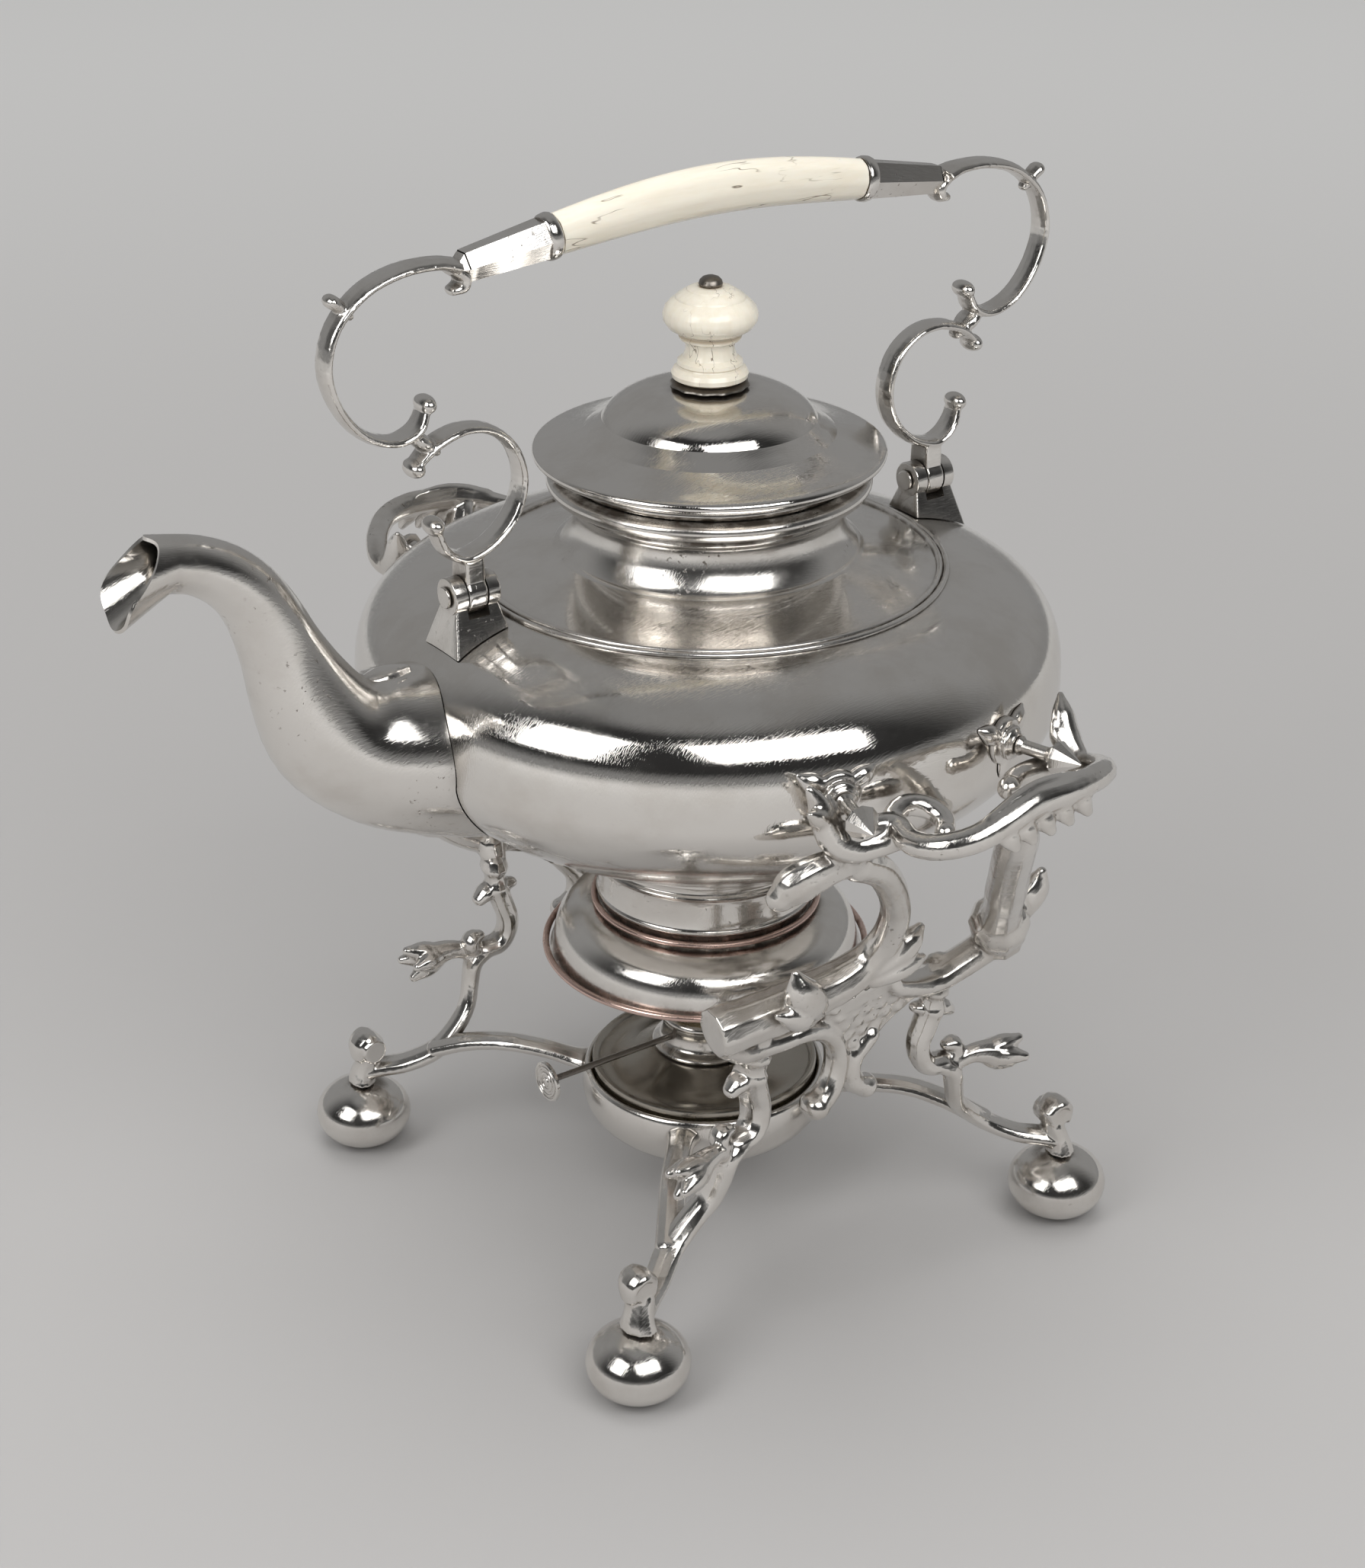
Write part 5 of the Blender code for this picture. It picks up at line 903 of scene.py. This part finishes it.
def block(low, low_size, high, high_size, bevel):
    """A block between two level rectangles, each given by its middle and its two widths."""
    clear_selection()
    bpy.ops.mesh.primitive_cube_add(size=2, location=(0, 0, 0))
    obj = bpy.context.object
    for vert in obj.data.vertices:
        place, size = (high, high_size) if vert.co.z > 0 else (low, low_size)
        vert.co = Vector((AXIS_X + (place[0] + vert.co.x * size[0] / 2) * MM,
                          (place[1] + vert.co.y * size[1] / 2) * MM, place[2] * MM))
    if bevel:
        freeze(obj, ('BEVEL', {"width": bevel * MM, "segments": 3, "limit_method": 'ANGLE'}))
    return obj


def barrel(x, half, r, bevel=0.5):
    """A bevelled cylinder on the hinge's axis."""
    clear_selection()
    bpy.ops.mesh.primitive_cylinder_add(vertices=64, radius=r * MM, depth=2 * half * MM,
                                        rotation=(0, math.pi / 2, 0),
                                        location=(AXIS_X + x * MM, 0, HINGE_Z * MM))
    obj = bpy.context.object
    bpy.ops.object.transform_apply()
    freeze(obj, ('BEVEL', {"width": bevel * MM, "segments": 4, "limit_method": 'ANGLE'}))
    return obj


lug = block((HINGE_X, 0, 226), (23, 23), (HINGE_X, 0, 245), (14.5, 9), 0.7)
tools = [('UNION', barrel(HINGE_X, 7.9, 6.0)),
         ('DIFFERENCE', block((HINGE_X, 0, 240.9), (7.4, 30), (HINGE_X, 0, 258), (7.4, 30), 0)),
         ('DIFFERENCE', cutter)]
freeze(lug, *[boolean(kind, tool) for kind, tool in tools])
for kind, tool in tools[:2]:
    bpy.data.objects.remove(tool, do_unlink=True)
lug_right = settle(lug, "hinge_lug_right", 35)
HINGE_SILVER = plate_material("hinge_silver", dirt=1.0, pits=0.5, waves=0.2, polish=0.13)
pin_right = barrel(HINGE_X, 8.1, 1.8, 0.1)
pin_heads = [barrel(HINGE_X + side * 8.7, 0.5, 3.4, 0.4) for side in (-1, 1)]
settle(join(pin_right, *pin_heads), "hinge_pin_drawn_right")


def finish_pair(right, stem, material, body, node):
    """Finishes a piece of the right side, and its copy turned half round for the left."""
    finish_piece(turned_copy(right, stem + "left", HALF_TURN), material, "silver", body, node + "left")
    finish_piece(right, material, "silver", body, node + "right")


finish_pair(lug_right, "hinge_lug_", HINGE_SILVER, "kettle", "bail_lug_")
finish_pair(pin_right, "hinge_pin_drawn_", HINGE_SILVER, "kettle", "hinge_pin_")

# The bail: two scrolled straps on each side, soldered where they touch and curled at their ends, then
# two tapered sockets that hold the ivory grip. It swings on the hinge knuckles.
STRAP_LOW = [(101.2, 270.8, 1.4), (99.2, 264.6, 1.7), (95.6, 260.9, 1.75), (90.2, 259.4, 1.8),
             (80.8, 262.9, 1.75), (73.3, 270.9, 1.7), (70.7, 281.5, 1.65), (74.2, 291.9, 1.65),
             (81.9, 298.2, 1.65), (91.1, 299.8, 1.7), (100.4, 297.1, 1.8), (106.9, 292.0, 1.5)]
STRAP_HIGH = [(103.2, 308.8, 1.5), (106.4, 302.7, 1.8), (114.3, 300.6, 1.75), (124.4, 304.8, 1.7),
              (131.9, 314.1, 1.65), (135.1, 326, 1.65), (131.6, 337.9, 1.65), (122, 346.8, 1.75),
              (109.8, 350.8, 1.85), (98, 351.1, 1.9), (91.2, 349.4, 2.2)]
STRAP_FLAT = 2.75


def in_plane(rows):
    return [(x, 0, z, r) for x, z, r in rows]


arm_parts = [cast_bar(in_plane(STRAP_LOW), STRAP_FLAT),
             cast_bar(in_plane(STRAP_HIGH), STRAP_FLAT, tips=(True, False)),
             cast_bar(in_plane([(100.0, 294.8, 1.6), (105.0, 298.9, 2.6), (109.0, 301.6, 1.8)]), 1.9),
             cast_bar(in_plane([(126.4, 340.4, 1.4), (129.6, 343.8, 2.0), (131.9, 345.6, 2.2)]), 1.6),
             knob(101.4, 0, 271.4, 3.0, (1, 1.6, 1)), knob(107.2, 0, 290.8, 2.9, (1, 1.75, 1)),
             knob(102.6, 0, 309.8, 2.9, (1, 1.75, 1)),
             cast_bar(in_plane([(93.0, 348.8, 1.9), (89.2, 346.4, 2.3),
                                (89.4, 343.2, 2.2), (92.4, 342.2, 1.6)]), 2.0),
             block((HINGE_X, 0, 247.3), (6.6, 9.6), (HINGE_X, 0, 260.4), (6.6, 8.4), 0.6),
             barrel(HINGE_X, 3.3, 6.2)]
ARM_SILVER = plate_material("arm_silver", dirt=1.0, pits=0.5, waves=0.5, polish=0.125)
arm_right = cast_whole("bail_arm_cast_right", arm_parts, 0.42, 2, 0.12, 4)
finish_pair(arm_right, "bail_arm_cast_", ARM_SILVER, "bail", "bail_arm_")
SOCKET = [(88.4, 4.8), (88.0, 5.1), (80, 5.55), (70, 6.1), (60.4, 6.6)]
BEAD = [(61.0, 6.5), (60.6, 6.9), (59.8, 7.2), (58.6, 7.3), (57.5, 7.1), (57.0, 6.6)]
GRIP_Z = 353.0
GRIP_FLAT = 0.9
SOCKET_Z = 348.6
SOCKET_X = 88.5
SOCKET_TILT = (GRIP_Z - SOCKET_Z) / (SOCKET_X - 57.0)
socket_parts = []
for rows, steps in ((SOCKET, 1), (BEAD, 10)):
    tilted = [(x, 0, SOCKET_Z + (SOCKET_X - x) * SOCKET_TILT, r) for x, r in rows]
    socket_parts.append(cast_bar(tilted, GRIP_FLAT, tips=(False, False), per=2, round_steps=steps))
socket_right = settle(join(*socket_parts), "grip_socket_right", 30)
SOCKET_SILVER = plate_material("socket_silver", dirt=0.9, pits=0.9, waves=0.5, polish=0.13)
finish_pair(socket_right, "grip_socket_", SOCKET_SILVER, "bail", "grip_ferrule_")
GRIP_IVORY = ivory_material("grip_ivory", (0.14, 1, 1), 120)
GRIP_ARCH = 5.0
GRIP_HALF = 56.6
GRIP_END_R = 6.35
GRIP_SWELL = 1.35
GRIP_STEPS = 20
FACETS = 8
FACET_DEPTH = 0.02


def grip_wave(x):
    """How far the grip has risen at x: 0 at its ends and 1 in its middle."""
    return math.sin(math.pi / 2 * (1 - min(abs(x) / GRIP_HALF, 1)))


grip_rows = []
for k in range(-GRIP_STEPS, GRIP_STEPS + 1):
    x = GRIP_HALF * k / GRIP_STEPS
    wave = grip_wave(x)
    grip_rows.append((x, 0, GRIP_Z + GRIP_ARCH * wave, GRIP_END_R + GRIP_SWELL * wave ** 0.8))
grip_bar = cast_bar(grip_rows, GRIP_FLAT, tips=(False, False), per=1, round_steps=14)
for vert in grip_bar.data.vertices:
    middle_z = (GRIP_Z + GRIP_ARCH * grip_wave(vert.co.x / MM - AXIS_X / MM)) * MM
    around = math.atan2(vert.co.y, vert.co.z - middle_z)
    facet = 1 + FACET_DEPTH * math.cos(FACETS * around)
    vert.co.y *= facet
    vert.co.z = middle_z + (vert.co.z - middle_z) * facet
finish_piece(settle(grip_bar, "grip_bar", 30), GRIP_IVORY, "ivory", "bail", "bail_grip")

# Four studs on the belly hang in the brackets' loops. Each is a cast rosette soldered on the body, with
# a ringed boss, a turned shaft and a faceted point.
STUD_Z = 207.5
STUD_TURN = math.radians(16.2)
BOSS_ROWS = [(7.6, 112.0), (7.6, 115.4), (7.2, 116.3), (6.2, 116.7), (5.2, 116.8), (5.0, 117.2), (5.4, 117.7),
             (5.4, 118.4), (4.9, 119.0), (3.9, 119.4), (3.5, 120.1), (0, 120.3)]
STUD_ROWS = [(0, 120.6), (2.9, 120.6), (3.1, 121.2), (2.6, 121.9), (2.2, 122.4), (2.2, 130.6), (2.7, 131.4),
             (3.0, 132.3), (2.7, 133.2), (3.4, 133.5)]
TIP_ROWS = [(0, 133.3), (5.1, 133.4), (5.4, 134.0), (5.0, 134.9), (0.35, 142.4), (0, 142.5)]
for number, turn in enumerate((-STUD_TURN, STUD_TURN, math.pi - STUD_TURN, math.pi + STUD_TURN), 1):
    out = Vector((math.sin(turn), -math.cos(turn), 0))
    lay = Matrix.Translation((0, 0, STUD_Z * MM)) @ out.to_track_quat('Z', 'Y').to_matrix().to_4x4()
    boss_piece = lathe("boss", [(0, 112.0), *BOSS_ROWS], 64, closed=False, angle=35)
    petals = []
    for k in range(3):
        a = math.radians(120 * k + 30)
        petal = [(math.cos(a) * r, math.sin(a) * r, z, w) for r, z,
                 w in ((5.0, 114.9, 3.0), (9.5, 114.4, 3.2), (13.4, 113.2, 1.2))]
        petals.append(cast_bar(petal, 0.7, (0, 0, 1)))
    join(boss_piece, *petals).data.transform(about_axis(lay))
    boss_piece = cast_whole(f"stud_rosette_{number}", [boss_piece], 0.4, 1)
    freeze(boss_piece, boolean('DIFFERENCE', cutter))
    finish_piece(settle(boss_piece, f"stud_rosette_{number}", 50), CAST_SILVER, "silver",
                 "kettle", f"stud_boss_{number}")
    shaft = lathe("shaft", [*STUD_ROWS, (0, 133.5)], 48, closed=False)
    tip = lathe("tip", TIP_ROWS, 10, closed=False, angle=20)
    join(shaft, tip).data.transform(about_axis(lay))
    finish_piece(settle(shaft, f"stud_point_{number}", 20), HINGE_SILVER,
                 "silver", "kettle", f"stud_{number}")
bpy.data.objects.remove(cutter, do_unlink=True)

# The room is a plain pale grey floor under a pale world, with two soft lights and a fill over it.
# Polished silver sees darker walls on the camera's side and paler ones beyond. The camera stands where
# the photographer's stood.
PHOTO_H = 2058
FOCAL_PX = 3719.21
SENSOR_MM = 36.0
CAMERA_MM = (-496.4, -690.0, 580.6)
LOOK = Vector((0.5156, 0.7312, -0.4466))
ROLL = math.radians(0.238)


def sweep_material(name, colour, painted_far_light):
    """Matt paper of one colour round the object, painted brighter far off: painted light that makes up for
    the lamps' falloff, so the floor looks evenly lit.
    """
    made, tree, shader = new_material(name)
    shader.inputs['Roughness'].default_value = 0.85
    shader.inputs['Specular IOR Level'].default_value = 0.2
    coords = tree.nodes.new('ShaderNodeTexCoord').outputs['Object']
    reach = tree.nodes.new('ShaderNodeVectorMath')
    reach.operation = 'LENGTH'
    tree.links.new(coords, reach.inputs[0])
    # Painted light: the colour brightens with distance from the object, standing in for the light that falls
    # off.
    tree.links.new(mix_of(tree, ramp_of(tree, reach.outputs['Value'], 0.3, 2.4), colour, painted_far_light),
                   shader.inputs['Base Color'])
    return made


FLOOR_SIZE = 6
clear_selection()
bpy.ops.mesh.primitive_plane_add(size=FLOOR_SIZE, location=(0, 0, 0))
floor = bpy.context.object
floor.name = "floor"
# The paler far colour is painted light, so the floor looks evenly lit.
floor.data.materials.append(sweep_material("grey_paper", (0.44, 0.43, 0.425, 1), (0.85, 0.845, 0.84, 1)))

camera_data = bpy.data.cameras.new("photo_camera")
camera_data.sensor_fit = 'VERTICAL'
camera_data.sensor_height = SENSOR_MM
camera_data.lens = FOCAL_PX / PHOTO_H * SENSOR_MM
camera_data.clip_start = 0.01
camera = bpy.data.objects.new("photo_camera", camera_data)
bpy.context.collection.objects.link(camera)
turn = LOOK.to_track_quat('-Z', 'Y').to_matrix().to_4x4() @ Matrix.Rotation(ROLL, 4, 'Z')
camera.matrix_world = Matrix.Translation(Vector(CAMERA_MM) * MM + Vector((AXIS_X, 0, 0))) @ turn
bpy.context.scene.camera = camera


def softbox(name, place, aim, size, energy):
    """A soft rectangular light at a place, turned to what it is aimed at."""
    data = bpy.data.lights.new(name, 'AREA')
    data.shape = 'RECTANGLE'
    data.size, data.size_y = size
    data.energy = energy
    obj = bpy.data.objects.new(name, data)
    bpy.context.collection.objects.link(obj)
    direction = Vector(aim) - Vector(place)
    obj.matrix_world = Matrix.Translation(place) @ direction.to_track_quat('-Z', 'Y').to_matrix().to_4x4()
    return obj


softbox("left_softbox", (-1.28, -0.16, 1.10), (0, 0, 0.2), (0.7, 1.0), 9)
softbox("front_softbox", (-0.15, -1.15, 1.25), (0, 0, 0.2), (1.3, 0.8), 12)
fill = softbox("top_fill", (0.2, 0.3, 1.9), (0, 0, 0.1), (1.6, 1.6), 12)
fill.visible_glossy = False
world = bpy.data.worlds.new("studio")
world.use_nodes = True
tree = world.node_tree
background = tree.nodes['Background']
split = tree.nodes.new('ShaderNodeSeparateXYZ')
tree.links.new(tree.nodes.new('ShaderNodeTexCoord').outputs['Generated'], split.inputs['Vector'])
AWAY_X = 0.576
AWAY_Y = 0.817
NEAR_WALL = 0.045
FAR_WALL = 0.44
away = math_of(tree, 'ADD', math_of(tree, 'MULTIPLY', split.outputs['X'], AWAY_X),
               math_of(tree, 'MULTIPLY', split.outputs['Y'], AWAY_Y))
beyond = ramp_of(tree, away, -0.3, 0.45, NEAR_WALL, FAR_WALL)
upper = math_of(tree, 'MULTIPLY', ramp_of(tree, split.outputs['Z'], 0.0, 0.2),
                ramp_of(tree, split.outputs['Z'], 0.995, 0.9))
walls = mix_of(tree, upper, (0.40, 0.40, 0.40, 1), beyond)
path = tree.nodes.new('ShaderNodeLightPath')
tree.links.new(mix_of(tree, path.outputs['Is Glossy Ray'], (0.80, 0.80, 0.79, 1), walls),
               background.inputs['Color'])
background.inputs['Strength'].default_value = 0.62
bpy.context.scene.world = world
bpy.context.scene.view_settings.view_transform = 'Standard'
